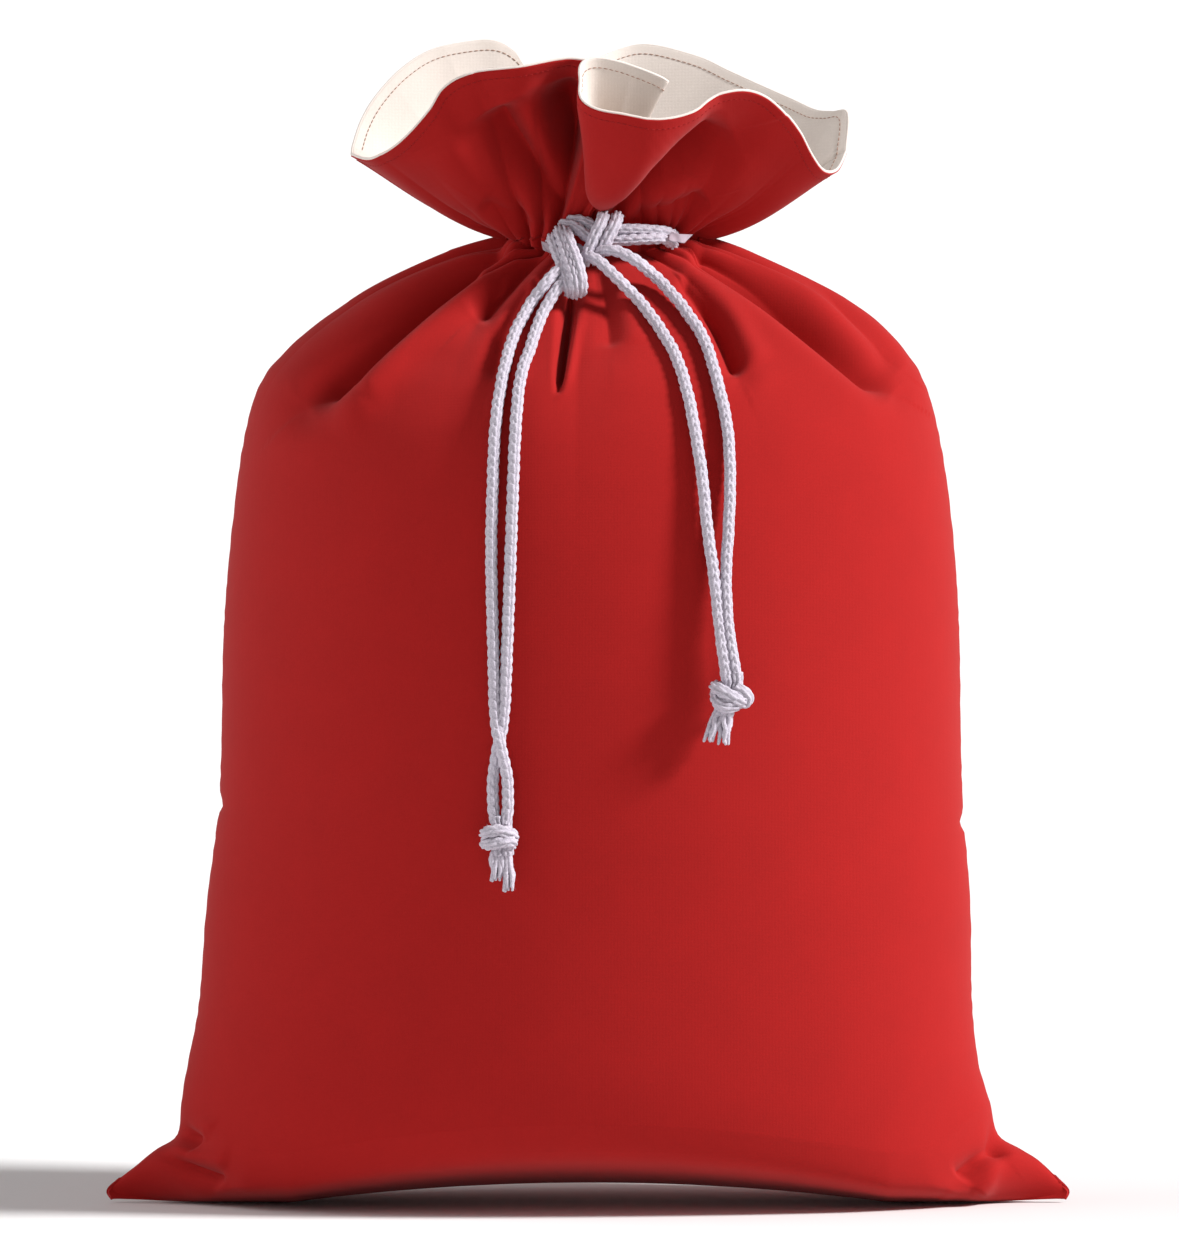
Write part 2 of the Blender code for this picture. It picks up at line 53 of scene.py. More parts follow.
# ---------------------------------------------------------------- camera
CAMERA_DISTANCE = 10.0
CAMERA_ELEVATION = math.radians(4.0)
CAMERA_TARGET = Vector((0.0, 0.0, 0.3005))
LONG_SIDE = 0.6516  # metres seen at the target along the picture's long side
SENSOR = 36.0


def make_camera():
    data = bpy.data.cameras.new("camera")
    data.sensor_width = SENSOR
    data.lens = SENSOR * CAMERA_DISTANCE / LONG_SIDE
    data.clip_end = 100.0
    camera = bpy.data.objects.new("camera", data)
    bpy.context.scene.collection.objects.link(camera)
    back = Vector((0.0, -math.cos(CAMERA_ELEVATION), math.sin(CAMERA_ELEVATION)))
    camera.location = CAMERA_TARGET + back * CAMERA_DISTANCE
    camera.rotation_mode = "QUATERNION"
    camera.rotation_quaternion = (-back).to_track_quat("-Z", "Y")
    bpy.context.scene.camera = camera


make_camera()

# ---------------------------------------------------------------- materials


def new_material(name, colour, roughness):
    material = bpy.data.materials.new(name)
    material.use_nodes = True
    shader = material.node_tree.nodes["Principled BSDF"]
    shader.inputs["Base Color"].default_value = (*colour, 1.0)
    shader.inputs["Roughness"].default_value = roughness
    shader.inputs["Specular IOR Level"].default_value = 0.25
    return material, material.node_tree, shader


def add_node(tree, kind, **values):
    node = tree.nodes.new(kind)
    for key, value in values.items():
        node.inputs[key.replace("_", " ")].default_value = value
    return node


def fine_noise(tree, **values):
    """Noise in the object's own space."""
    noise = add_node(tree, "ShaderNodeTexNoise", **values)
    place = tree.nodes.new("ShaderNodeTexCoord")
    tree.links.new(place.outputs["Object"], noise.inputs["Vector"])
    return noise.outputs["Fac"]


def worked_out(tree, operation, first, second):
    """The output of a maths node."""
    node = tree.nodes.new("ShaderNodeMath")
    node.operation = operation
    tree.links.new(first, node.inputs[0])
    tree.links.new(second, node.inputs[1])
    return node.outputs[0]


def colour_and_bump(tree, shader, fac, dark, colour, low, high, relief, strength, distance):
    """The base colour runs from dark at low to colour at high, and the relief bends the light."""
    ramp = tree.nodes.new("ShaderNodeValToRGB")
    for element, position, value in zip(ramp.color_ramp.elements, (low, high), (dark, colour)):
        element.position = position
        element.color = (*value, 1.0)
    tree.links.new(fac, ramp.inputs["Fac"])
    tree.links.new(ramp.outputs["Color"], shader.inputs["Base Color"])
    bump = add_node(tree, "ShaderNodeBump", Strength=strength, Distance=distance)
    tree.links.new(relief, bump.inputs["Height"])
    tree.links.new(bump.outputs["Normal"], shader.inputs["Normal"])


def cotton(name, colour, dark, roughness, weave_scale, strength, sheen):
    """Plain-weave cotton: two crossed fine waves for the threads, slubs, and a slight mottling."""
    material, tree, shader = new_material(name, colour, roughness)
    mottle = fine_noise(tree, Scale=38.0, Detail=5.0, Roughness=0.62)
    grain = fine_noise(tree, Scale=900.0, Detail=3.0, Roughness=0.6)
    half = tree.nodes.new("ShaderNodeValue").outputs[0]
    half.default_value = 0.5
    mixed = worked_out(tree, "MULTIPLY", worked_out(tree, "ADD", mottle, grain), half)
    place = tree.nodes.new("ShaderNodeTexCoord")
    threads = []
    for direction in ("X", "Z"):
        wave = add_node(tree, "ShaderNodeTexWave", Scale=weave_scale, Distortion=1.2, Detail=2.0)
        wave.inputs["Detail Scale"].default_value = 2.0
        wave.bands_direction = direction
        tree.links.new(place.outputs["Object"], wave.inputs["Vector"])
        threads.append(wave.outputs["Fac"])
    weave = worked_out(tree, "ADD", worked_out(tree, "MULTIPLY", *threads), grain)
    colour_and_bump(tree, shader, mixed, dark, colour, 0.30, 0.72, weave, strength, 0.0003)
    shader.inputs["Sheen Weight"].default_value = sheen
    shader.inputs["Sheen Roughness"].default_value = 0.5
    return material


def yarn(name, colour, dark, strength):
    """Soft cotton cord: fine fibres over the braid's own relief."""
    material, tree, shader = new_material(name, colour, 0.95)
    fibre = fine_noise(tree, Scale=1300.0, Detail=4.0, Roughness=0.7)
    colour_and_bump(tree, shader, fibre, dark, colour, 0.30, 0.60, fibre, strength, 0.0004)
    return material


RED = cotton("red_cotton_cloth", (0.362, 0.0048, 0.0040), (0.320, 0.0038, 0.0032), 0.90, 420.0, 0.16, 0.04)
CREAM = cotton("cream_cotton_cloth", (0.76, 0.680, 0.625), (0.69, 0.610, 0.555), 0.92, 420.0, 0.20, 0.05)
EDGE = cotton("cream_cotton_edge", (0.78, 0.70, 0.65), (0.70, 0.62, 0.57), 0.92, 500.0, 0.20, 0.05)
# the slot flaps' cloth is the cream cotton made darker and greyer: painted shade for the recess of the
# slots, not a different cloth
SHADED_SLOT_CLOTH = cotton("cream_slot_cloth_painted_shade", (0.44, 0.36, 0.41), (0.34, 0.27, 0.32), 0.92, 500.0, 0.20, 0.05)
WHITE = yarn("white_cotton_yarn", (0.60, 0.555, 0.625), (0.41, 0.365, 0.44), 0.9)
TAN_THREAD = yarn("tan_sewing_thread", (0.42, 0.27, 0.21), (0.36, 0.22, 0.17), 0.3)
RED_THREAD = yarn("red_sewing_thread", (0.30, 0.012, 0.012), (0.24, 0.008, 0.008), 0.3)

# ---------------------------------------------------------------- curves

SAMPLES_PER_SPAN = 30


def smooth(value):
    share = np.clip(value, 0.0, 1.0)
    return share * share * (3.0 - 2.0 * share)


def through(points, positions):
    """The smooth curve through the points, at positions that count control points."""
    points = np.asarray(points, float)
    positions = np.clip(np.asarray(positions, float), 0.0, len(points) - 1.0)
    index = np.minimum(positions.astype(int), len(points) - 2)
    t = (positions - index)[:, None]
    before = points[np.maximum(index - 1, 0)]
    first, second = points[index], points[index + 1]
    after = points[np.minimum(index + 2, len(points) - 1)]
    blend_in = 2 * t**3 - 3 * t**2 + 1
    value = blend_in * first + (1 - blend_in) * second
    value += (t**3 - 2 * t**2 + t) * 0.5 * (second - before)
    value += (t**3 - t**2) * 0.5 * (after - first)
    return value


def paced(points, shares):
    """The same curve at shares 0..1 of its length, and that length."""
    spans = len(points) - 1
    fine = through(points, np.linspace(0, spans, spans * SAMPLES_PER_SPAN + 1))
    steps = np.linalg.norm(np.diff(fine, axis=0), axis=1)
    along = np.concatenate([[0.0], np.cumsum(steps)])
    wanted = np.asarray(shares) * along[-1]
    return np.stack([np.interp(wanted, along, fine[:, k]) for k in range(3)], axis=1), along[-1]


# ---------------------------------------------------------------- the sack's form

# (left half width, right half width, half depth, height at the sides, height at the middle)
BASE = [
    (0.2485, 0.2475, 0.000, 0.0015, 0.0000),
    (0.2508, 0.2492, 0.008, 0.0060, 0.0004),
    (0.2450, 0.2440, 0.026, 0.0120, 0.0022),
    (0.2350, 0.2360, 0.050, 0.0205, 0.0055),
    (0.2260, 0.2250, 0.072, 0.0275, 0.0095),
    (0.2150, 0.2130, 0.088, 0.0350, 0.0160),
    (0.2130, 0.2092, 0.097, 0.0520, 0.0320),
]
# (left half width, right half width, half depth, height)
BODY = [
    (0.2095, 0.2035, 0.103, 0.072),
    (0.2030, 0.2000, 0.109, 0.105),
    (0.1985, 0.1985, 0.116, 0.155),
    (0.1925, 0.1945, 0.122, 0.210),
    (0.1905, 0.1925, 0.126, 0.290),
    (0.1855, 0.1875, 0.127, 0.355),
    (0.1800, 0.1815, 0.121, 0.399),
    (0.1715, 0.1740, 0.108, 0.427),
    (0.1560, 0.1620, 0.092, 0.446),
    (0.1340, 0.1430, 0.074, 0.464),
    (0.1080, 0.1150, 0.056, 0.480),
    (0.0750, 0.0830, 0.042, 0.4905),
    (0.0420, 0.0575, 0.036, 0.4955),
]
PROFILE = [BASE[-1][:4]] + BODY  # the body with the base's last line as its first
NECK_LOW, NECK_HIGH = 0.4955, 0.5065
SIDE_LIFT, SIDE_DROP = 0.0065, 0.0028  # the groove closes up towards the sides
EAR_FLAT = 0.82  # share of the half width where the corners' own height begins
ARCH_RISE, ARCH_REACH, FRONT_SLOPE = 0.010, 0.155, 0.08  # the bottom edge's rise in the middle
COLLAR_SAG = 0.007

FRONT_RIM = [
    (-0.1240, -0.002, 0.545),
    (-0.1130, -0.028, 0.544),
    (-0.0990, -0.045, 0.553),
    (-0.0830, -0.060, 0.571),
    (-0.0750, -0.066, 0.583),
    (-0.0620, -0.072, 0.590),
    (-0.0360, -0.074, 0.594),
    (-0.0080, -0.070, 0.597),
    (0.0180, -0.0680, 0.5930),
    (0.0340, -0.0695, 0.5885),
    (0.0400, -0.0715, 0.5870),
    (0.0350, -0.0750, 0.5905),
    (0.0170, -0.0790, 0.5975),
    (0.0020, -0.0830, 0.6000),
    (-0.0055, -0.0890, 0.5960),
    (-0.0035, -0.0950, 0.5860),
    (0.0060, -0.0990, 0.5780),
    (0.0180, -0.1010, 0.5745),
    (0.0320, -0.0990, 0.5730),
    (0.0500, -0.0930, 0.5755),
    (0.0620, -0.0880, 0.5800),
    (0.0780, -0.0820, 0.5830),
    (0.0900, -0.0740, 0.5795),
    (0.1000, -0.0660, 0.5710),
    (0.1085, -0.0550, 0.5600),
    (0.1150, -0.0430, 0.5470),
    (0.1215, -0.0290, 0.5385),
    (0.1285, -0.0150, 0.5385),
    (0.1335, -0.0020, 0.5470),
]
BACK_RIM = [
    (0.1338, 0.002, 0.552),
    (0.1345, 0.012, 0.5665),
    (0.1270, 0.020, 0.5665),
    (0.1180, 0.030, 0.567),
    (0.1060, 0.043, 0.572),
    (0.0890, 0.056, 0.579),
    (0.0730, 0.066, 0.586),
    (0.0570, 0.074, 0.593),
    (0.0320, 0.080, 0.599),
    (0.0160, 0.078, 0.597),
    (0.0000, 0.066, 0.591),
    (-0.0180, 0.054, 0.582),
    (-0.0330, 0.050, 0.588),
    (-0.0395, 0.050, 0.597),
    (-0.0490, 0.049, 0.6025),
    (-0.0620, 0.047, 0.6025),
    (-0.0830, 0.041, 0.598),
    (-0.0990, 0.032, 0.588),
    (-0.1120, 0.022, 0.574),
    (-0.1195, 0.013, 0.561),
    (-0.1240, 0.002, 0.547),
]

COLUMNS = 720
BASE_ROWS, BODY_ROWS, NECK_ROWS, COLLAR_ROWS = ((30, 230, 10, 110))


def base_and_body(angles):
    """Points [row, column] from the bottom seam up to the neck, before any folds."""
    cosine, sine = np.cos(angles), np.sin(angles)
    side = smooth((np.abs(cosine) - EAR_FLAT) / (1 - EAR_FLAT))
    lines = []
    for position in np.linspace(0, len(BASE) - 1, BASE_ROWS, endpoint=False):
        left, right, deep, high_side, high_middle = through(BASE, [position])[0]
        rise = smooth(position / (len(BASE) - 1))
        power = 1.4 - 0.4 * rise
        x = np.where(cosine > 0, -left * cosine, -right * cosine)
        y = -deep * np.sign(sine) * np.abs(sine) ** power
        z = high_middle + (high_side - high_middle) * side
        lines.append((x, y, z + arch(x, y)))
    low_side, low_middle = BASE[-1][3:]
    for position in np.linspace(0, len(PROFILE) - 1, BODY_ROWS, endpoint=False):
        left, right, deep, height = through(PROFILE, [position])[0]
        x = np.where(cosine > 0, -left * cosine, -right * cosine)
        y = -deep * sine
        fade = 1 - smooth(position / 2.0)
        height = height + SIDE_LIFT * cosine**2 * smooth((position - len(PROFILE) + 3.2) / 2.2)
        z = height + fade * ((low_middle - low_side) * (1 - side) + arch(x, y))
        lines.append((x, y, z))
    left, right, deep, _ = BODY[-1]
    for share in np.linspace(0, 1, NECK_ROWS, endpoint=False):
        x = np.where(cosine > 0, -left * cosine, -right * cosine)
        low, high = NECK_LOW + SIDE_LIFT * cosine**2, NECK_HIGH - SIDE_DROP * cosine**2
        lines.append((x, -deep * sine, low + share * (high - low)))
    return np.stack([np.stack(line, axis=1) for line in lines])


def arch(x, y):
    """How far the bottom edge rises between the two corners that it rests on."""
    inside = np.maximum(0.0, 1 - (x / ARCH_REACH) ** 2)
    return inside * (ARCH_RISE + FRONT_SLOPE * np.abs(y))


def collar(angles):
    """Points [row, column] from the top of the neck up to the mouth's edge."""
    left, right, deep, _ = BODY[-1]
    cosine, sine = np.cos(angles), np.sin(angles)
    x = np.where(cosine > 0, -left * cosine, -right * cosine)
    low = np.stack([x, -deep * sine, NECK_HIGH - SIDE_DROP * cosine**2], axis=1)
    front, _ = paced(FRONT_RIM, np.clip(angles / math.pi, 0, 1))
    back, _ = paced(BACK_RIM, np.clip(angles / math.pi - 1, 0, 1))
    rim = np.where((angles <= math.pi)[:, None], front, back)
    lines = []
    for share in np.linspace(0, 1, COLLAR_ROWS + 1):
        line = low + (rim - low) * share
        # the cloth spreads first and then stands up
        line[:, 2] -= COLLAR_SAG * math.sin(math.pi * share) * (1 - share) ** 0.5
        lines.append(line)
    return np.stack(lines)


def normals_of(grid):
    """Outward normals of a grid that closes on itself sideways."""
    across = np.empty_like(grid)
    across[:, 1:-1] = grid[:, 2:] - grid[:, :-2]
    across[:, 0] = grid[:, 1] - grid[:, -2]
    across[:, -1] = across[:, 0]
    up = np.gradient(grid, axis=0)
    out = np.cross(across, up)
    length = np.linalg.norm(out, axis=2, keepdims=True)
    return out / np.maximum(length, 1e-12)


def ripple(angles, count, seed, wander):
    """Rounded ridges with sharp valleys between them, unevenly spaced around the neck."""
    local = np.random.default_rng(seed)
    turn = angles / (2 * math.pi) * count
    for k in range(1, 6):
        turn = turn + wander * count / 12 / k * np.sin(k * angles + local.uniform(0, 2 * math.pi))
    ridge = np.abs(np.sin(math.pi * turn)) ** 0.75 - 0.66
    size = 1.0
    for k in (2, 5, 9):
        size = size + 0.28 * np.sin(k * angles + local.uniform(0, 2 * math.pi))
    return ridge * size


# Creases seen from the front: (x, height) along each, then its half width, its depth and the height of
# the ridge beside it, which is highest on its left as it is walked. The first also narrows on its way.
BODY_CREASES = [
    ([(-0.0095, 0.4860), (-0.0115, 0.4640), (-0.0160, 0.4300)], 0.0058, 0.0140, 0.0030, -0.45),
    ([(-0.0250, 0.4960), (-0.0400, 0.4850), (-0.0600, 0.4650)], 0.0055, 0.0110, 0.0030),
    (
        [(-0.0480, 0.4980), (-0.0740, 0.4820), (-0.1010, 0.4620), (-0.1260, 0.4420), (-0.1480, 0.4190)],
        0.0068,
        0.0210,
        0.0060,
    ),
    ([(-0.0600, 0.4860), (-0.0860, 0.4660), (-0.1120, 0.4440), (-0.1240, 0.4310)], 0.0040, 0.0030, 0.0020),
    ([(0.0580, 0.4930), (0.0950, 0.4740), (0.1300, 0.4500), (0.1600, 0.4250)], 0.0056, 0.0180, 0.0052),
    ([(0.0900, 0.4950), (0.1180, 0.4790), (0.1450, 0.4560), (0.1630, 0.4360)], 0.0045, 0.0070, 0.0030),
    ([(0.0500, 0.4800), (0.0660, 0.4620), (0.0775, 0.4360)], 0.0042, 0.0095, 0.0030),
    ([(-0.0330, 0.4760), (-0.0440, 0.4560), (-0.0500, 0.4330)], 0.0040, 0.0035, 0.0020),
    ([(0.0060, 0.4860), (0.0100, 0.4680), (0.0110, 0.4500)], 0.0045, 0.0035, 0.0015),
    ([(-0.2125, 0.0400), (-0.2085, 0.0365), (-0.2030, 0.0320)], 0.0038, 0.0085, 0.0025),
    ([(-0.2230, 0.0265), (-0.2060, 0.0190), (-0.1900, 0.0135)], 0.0042, 0.0085, 0.0034),
    ([(0.2110, 0.0390), (0.2125, 0.0320), (0.2170, 0.0250)], 0.0038, 0.0100, 0.0035),
    ([(0.2100, 0.0300), (0.2010, 0.0225), (0.1930, 0.0150)], 0.0045, 0.0080, 0.0034),
]
COLLAR_CREASES_LEFT = [
    ([(-0.0130, 0.5160), (-0.0260, 0.5340), (-0.0400, 0.5540), (-0.0500, 0.5720)], 0.0110, 0.0230, 0.0050),
    ([(-0.0040, 0.5190), (-0.0058, 0.5340), (-0.0080, 0.5560), (-0.0110, 0.5850)], 0.0105, 0.0270, 0.0045),
    ([(-0.0200, 0.5090), (-0.0380, 0.5160), (-0.0560, 0.5260)], 0.0045, 0.0040, 0.0015),
]
COLLAR_CREASES_RIGHT = [
    ([(0.0120, 0.5150), (0.0300, 0.5310), (0.0480, 0.5470), (0.0760, 0.5590)], 0.0090, 0.0240, 0.0060),
    ([(0.0240, 0.5100), (0.0420, 0.5160), (0.0620, 0.5240)], 0.0045, 0.0060, 0.0025),
]
# Where one fold of the collar laps over its neighbour: path, height, reach and sharpness.
# The cloth on the left of the path, as it is walked, stands out.
COLLAR_LAP = (
    [(0.0090, 0.5130), (0.0240, 0.5290), (0.0400, 0.5450), (0.0680, 0.5600)],
    0.0105,
    0.0260,
    0.0026,
)
PLEAT_EDGE = (
    [(-0.0065, 0.5960), (-0.0025, 0.5740), (0.0020, 0.5500), (0.0060, 0.5220)],
    0.0085,
    0.0180,
    0.0024,
)
HIDDEN_PUSH = 1.7  # the cloth behind the pleat's edge goes in this much more
PLEAT_TURN = (0.0415, -0.0725)  # x and y that the rim keeps inside before the pleat turns back
PLEAT_START = 0.003
PUCKER = 0.00020
SEAM_GROOVE = 0.0011
SEAM_NOTCHES = ((-1.0, 0.2080), (1.0, 0.1990))  # side and height
NOTCH_DEPTH = 0.0026


def beside(x, z, path):
    """In the front view: distance to a path, which side of it, and how far along it."""
    path = np.asarray(path, float)
    fine = through(path, np.linspace(0, len(path) - 1, 24))
    starts, ends = fine[:-1], fine[1:]
    best = np.full(x.shape, 1e9)
    side = np.zeros(x.shape)
    where = np.zeros(x.shape)
    for k, (a, b) in enumerate(zip(starts, ends)):
        way = b - a
        size = float(way @ way)
        t = np.clip(((x - a[0]) * way[0] + (z - a[1]) * way[1]) / size, 0, 1)
        dx, dz = x - (a[0] + t * way[0]), z - (a[1] + t * way[1])
        gap = np.hypot(dx, dz)
        nearer = gap < best
        best = np.where(nearer, gap, best)
        side = np.where(nearer, np.sign(way[0] * dz - way[1] * dx), side)
        where = np.where(nearer, (k + t) / len(starts), where)
    return best, side, where


def crease(x, z, path, width, depth, ridge, growth=0.7):
    """How far a crease moves the cloth, by its distance in the front view."""
    best, side, where = beside(x, z, path)
    strength = (0.45 + 0.55 * smooth(where / 0.6)) * (1 - 0.8 * smooth((where - 0.80) / 0.2))
    wide = width * (0.7 + growth * where)
    valley = -depth * np.exp(-((best / wide) ** 1.5))
    hump = ridge * np.exp(-(((best - 1.9 * wide) / (1.3 * wide)) ** 2)) * (0.6 + 0.4 * side)
    ends_fade = np.exp(-((np.maximum(0.0, best - 6 * wide)) ** 2) / 1e-4)
    return strength * (valley + hump) * ends_fade


def lap(x, z, path, height, reach, sharp):
    """How far a lapped fold moves the cloth: out on its left, in on its right."""
    best, side, where = beside(x, z, path)
    ends = smooth(where / 0.35 + 0.1) * (1 - smooth((where - 0.65) / 0.35))
    return height * np.tanh(best * side / sharp) * np.exp(-((best / reach) ** 1.3)) * ends


def folded_sack():
    """The whole outer surface with its folds, its normals, and the row where the collar starts."""
    angles = np.linspace(0, 2 * math.pi, COLUMNS + 1)
    smooth_form = np.concatenate([base_and_body(angles), collar(angles)])
    rows = len(smooth_form)
    neck_row = BASE_ROWS + BODY_ROWS
    collar_row = neck_row + NECK_ROWS
    out = normals_of(smooth_form)
    steps = np.linalg.norm(np.diff(smooth_form, axis=0), axis=2)
    along = np.concatenate([np.zeros((1, COLUMNS + 1)), np.cumsum(steps, axis=0)])
    below = np.maximum(0.0, along[neck_row] - along)
    above = np.maximum(0.0, along - along[collar_row])
    x, y, z = (smooth_form[:, :, k] for k in range(3))
    turn = np.broadcast_to(angles, x.shape)

    fine, middle, coarse = (ripple(turn, c, s, w) for c, s, w in ((29, 3, 0.5), (15, 5, 0.6), (8, 9, 0.6)))
    move = 0.0018 * fine * np.exp(-((below / 0.024) ** 1.4)) * np.exp(-((above / 0.026) ** 1.4))
    move += 0.0036 * middle * np.exp(-((below / 0.055) ** 1.6)) * np.exp(-((above / 0.046) ** 1.6))
    move += 0.0040 * coarse * np.exp(-((below / 0.095) ** 2)) * np.exp(-((above / 0.070) ** 2))

    front = smooth((-y - 0.004) / 0.02)
    low_part = (np.arange(rows) < neck_row + 2)[:, None]
    for path, *shape in BODY_CREASES:
        move += crease(x, z, path, *shape) * front * low_part
        # the back, which is not seen, has the same kind of creases, mirrored and weaker
        mirrored = [(-px * 0.93 + 0.006, pz - 0.004) for px, pz in path]
        back = smooth((y - 0.004) / 0.02)
        above_corner = smooth((z - 0.06) / 0.05)
        move += 0.85 * crease(x, z, mirrored, *shape) * back * low_part * above_corner
    # the pleat's two hidden layers keep clear of the folds in front of them
    rim_x, rim_y = x[-1, : COLUMNS // 2], y[-1, : COLUMNS // 2]
    turn_back = int(np.argmax(np.where(rim_x < PLEAT_TURN[0], rim_x, 0) * (rim_y > PLEAT_TURN[1])))
    last_hidden = turn_back + int(np.argmin(rim_x[turn_back : turn_back + COLUMNS // 8]))
    first_hidden = int(np.argmax(rim_x > PLEAT_START))
    number = np.arange(COLUMNS + 1)
    outside = np.maximum(first_hidden - number, number - last_hidden)
    shown = front * (1 - low_part) * smooth(outside / (COLUMNS / 120) + 0.5)
    behind = shown * (number < (first_hidden + last_hidden) / 2)
    in_front = shown - behind
    for path, *shape in COLLAR_CREASES_LEFT:
        move += crease(x, z, path, *shape) * behind
    for path, *shape in COLLAR_CREASES_RIGHT:
        move += crease(x, z, path, *shape) * in_front
    move += lap(x, z, *COLLAR_LAP) * in_front
    edge = lap(x, z, *PLEAT_EDGE)
    move += np.maximum(edge, 0) * in_front + HIDDEN_PUSH * np.minimum(edge, 0) * behind

    # broad unevenness of the filling, and the seams' grooves and puckers
    wander = np.zeros_like(x)
    for k in range(9):
        direction = rng.normal(size=3)
        direction /= np.linalg.norm(direction)
        length = rng.uniform(0.10, 0.26)
        wander += np.sin((smooth_form @ direction) * 2 * math.pi / length + rng.uniform(0, 6.3)) / 9
    move += 0.0022 * wander * smooth(z / 0.08) * (1 - smooth((z - 0.44) / 0.06) * 0.6)
    off_seam = np.abs(y)
    at_seam = np.exp(-((off_seam / 0.0016) ** 2)) * smooth(z / 0.03) * (1 - smooth((z - 0.47) / 0.02))
    move -= SEAM_GROOVE * at_seam
    pucker = np.sin(2 * math.pi * z / 0.0125 + 3 * np.sin(z * 61)) * np.sin(2 * math.pi * z / 0.083)
    move += PUCKER * pucker * np.exp(-((off_seam / 0.012) ** 2)) * smooth(z / 0.05) * (z < 0.47)
    for notch_x, notch_z in SEAM_NOTCHES:
        here = (x * notch_x > 0) * np.exp(-(((z - notch_z) / 0.0042) ** 2))
        move -= NOTCH_DEPTH * here * np.exp(-((off_seam / 0.018) ** 2))

    grid = smooth_form + out * move[:, :, None]
    grid[:, -1] = grid[:, 0]
    return grid, normals_of(grid), collar_row


# ---------------------------------------------------------------- cloth pieces


def mesh_piece(name, vertices, faces, material):
    """A smooth-shaded mesh from groups of faces. Each group has its own number of corners."""
    mesh = bpy.data.meshes.new(name)
    mesh.from_pydata([], [], [])
    mesh.vertices.add(len(vertices))
    mesh.vertices.foreach_set("co", np.asarray(vertices, np.float32).ravel())
    counts = [len(group[0]) if len(group) else 0 for group in faces]
    loops = np.concatenate([np.asarray(group, np.int32).ravel() for group in faces if len(group)])
    totals = np.concatenate([np.full(len(g), c, np.int32) for g, c in zip(faces, counts) if len(g)])
    starts = np.concatenate([[0], np.cumsum(totals)[:-1]]).astype(np.int32)
    mesh.loops.add(len(loops))
    mesh.loops.foreach_set("vertex_index", loops)
    mesh.polygons.add(len(totals))
    mesh.polygons.foreach_set("loop_start", starts)
    mesh.polygons.foreach_set("loop_total", totals)
    mesh.update(calc_edges=True)
    mesh.validate()
    mesh.shade_smooth()
    mesh.materials.append(material)
    made = bpy.data.objects.new(name, mesh)
    bpy.context.scene.collection.objects.link(made)
    return made


def grid_quads(rows, columns, start, flip):
    """Faces of a rows x columns block of points."""
    r, c = np.meshgrid(np.arange(rows - 1), np.arange(columns - 1), indexing="ij")
    a = start + r * columns + c
    quads = np.stack([a, a + 1, a + columns + 1, a + columns], axis=-1).reshape(-1, 4)
    return quads[:, ::-1] if flip else quads


def thick_sheet(name, outside, inside, material):
    """A closed sheet from two grids of the same shape."""
    rows, columns = outside.shape[:2]
    points = np.concatenate([outside.reshape(-1, 3), inside.reshape(-1, 3)])
    second = rows * columns
    quads = [grid_quads(rows, columns, 0, False), grid_quads(rows, columns, second, True)]
    ring = np.concatenate(
        [
            np.arange(columns),
            np.arange(1, rows) * columns + columns - 1,
            (rows - 1) * columns + np.arange(columns - 2, -1, -1),
            np.arange(rows - 2, 0, -1) * columns,
        ]
    )
    following = np.roll(ring, -1)
    quads.append(np.stack([ring, ring + second, following + second, following], axis=-1))
    return mesh_piece(name, points, [np.concatenate(quads)], material)


OUTER_THICKNESS, LINING_THICKNESS = 0.0010, 0.0008
LINING_GAP, LINING_SLACK, LINING_DROP = 0.0002, 0.0030, 0.004


def cloth_pieces():
    """The four panels. Returns the outer surface and its normals."""
    grid, out, collar_row = folded_sack()
    half = COLUMNS // 2
    rows = len(grid)
    # the lining hangs a little free of the outer cloth inside the body
    height = grid[:, :, 2:3]
    loose = LINING_SLACK * (1 - smooth((height - 0.46) / 0.03))
    gap = OUTER_THICKNESS + LINING_GAP + loose
    for side, columns in (("front", slice(0, half + 1)), ("back", slice(half, COLUMNS + 1))):
        skin, way = grid[:, columns], out[:, columns]
        outer = thick_sheet("outer_%s_cloth" % side, skin, skin - way * OUTER_THICKNESS, RED)
        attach(outer, "sack")
        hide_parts("outer_%s_panel" % side)
        low_rows = np.arange(BASE_ROWS * 2 // 3, collar_row, 5)
        keep = np.concatenate([low_rows, np.arange(collar_row, rows)])
        start = skin - way * gap[:, columns]
        inside = start - way * LINING_THICKNESS
        # below the collar it follows the outer cloth more loosely, further in and lower
        near_neck = smooth((skin[:, :, 2:3] - 0.42) / 0.05)
        near_floor = 1 - smooth((skin[:, :, 2:3] - 0.045) / 0.05)
        tighter = 0.02 + 0.08 * near_neck + 0.10 * near_floor
        shares = (np.arange(rows) - collar_row) / COLLAR_ROWS
        sideways, inwards = smooth((0.30 - shares) / 0.2), smooth((0.45 - shares) / 0.2)
        ease = np.stack([sideways, inwards, np.zeros(rows)], axis=1)
        shrink = tighter * ease[:, None, :]
        below_collar = smooth((collar_row - np.arange(rows)) / 8.0)[:, None]
        drop = below_collar * LINING_DROP * smooth(skin[:, :, 2] / 0.05)
        for surface in (start, inside):
            surface *= 1 - shrink
            surface[:, :, 2] -= drop
        lining = thick_sheet("lining_%s_cloth" % side, start[keep], inside[keep], CREAM)
        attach(lining, "sack")
        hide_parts("lining_%s_panel" % side)
    return grid, out


grid, out = cloth_pieces()

# ---------------------------------------------------------------- cords

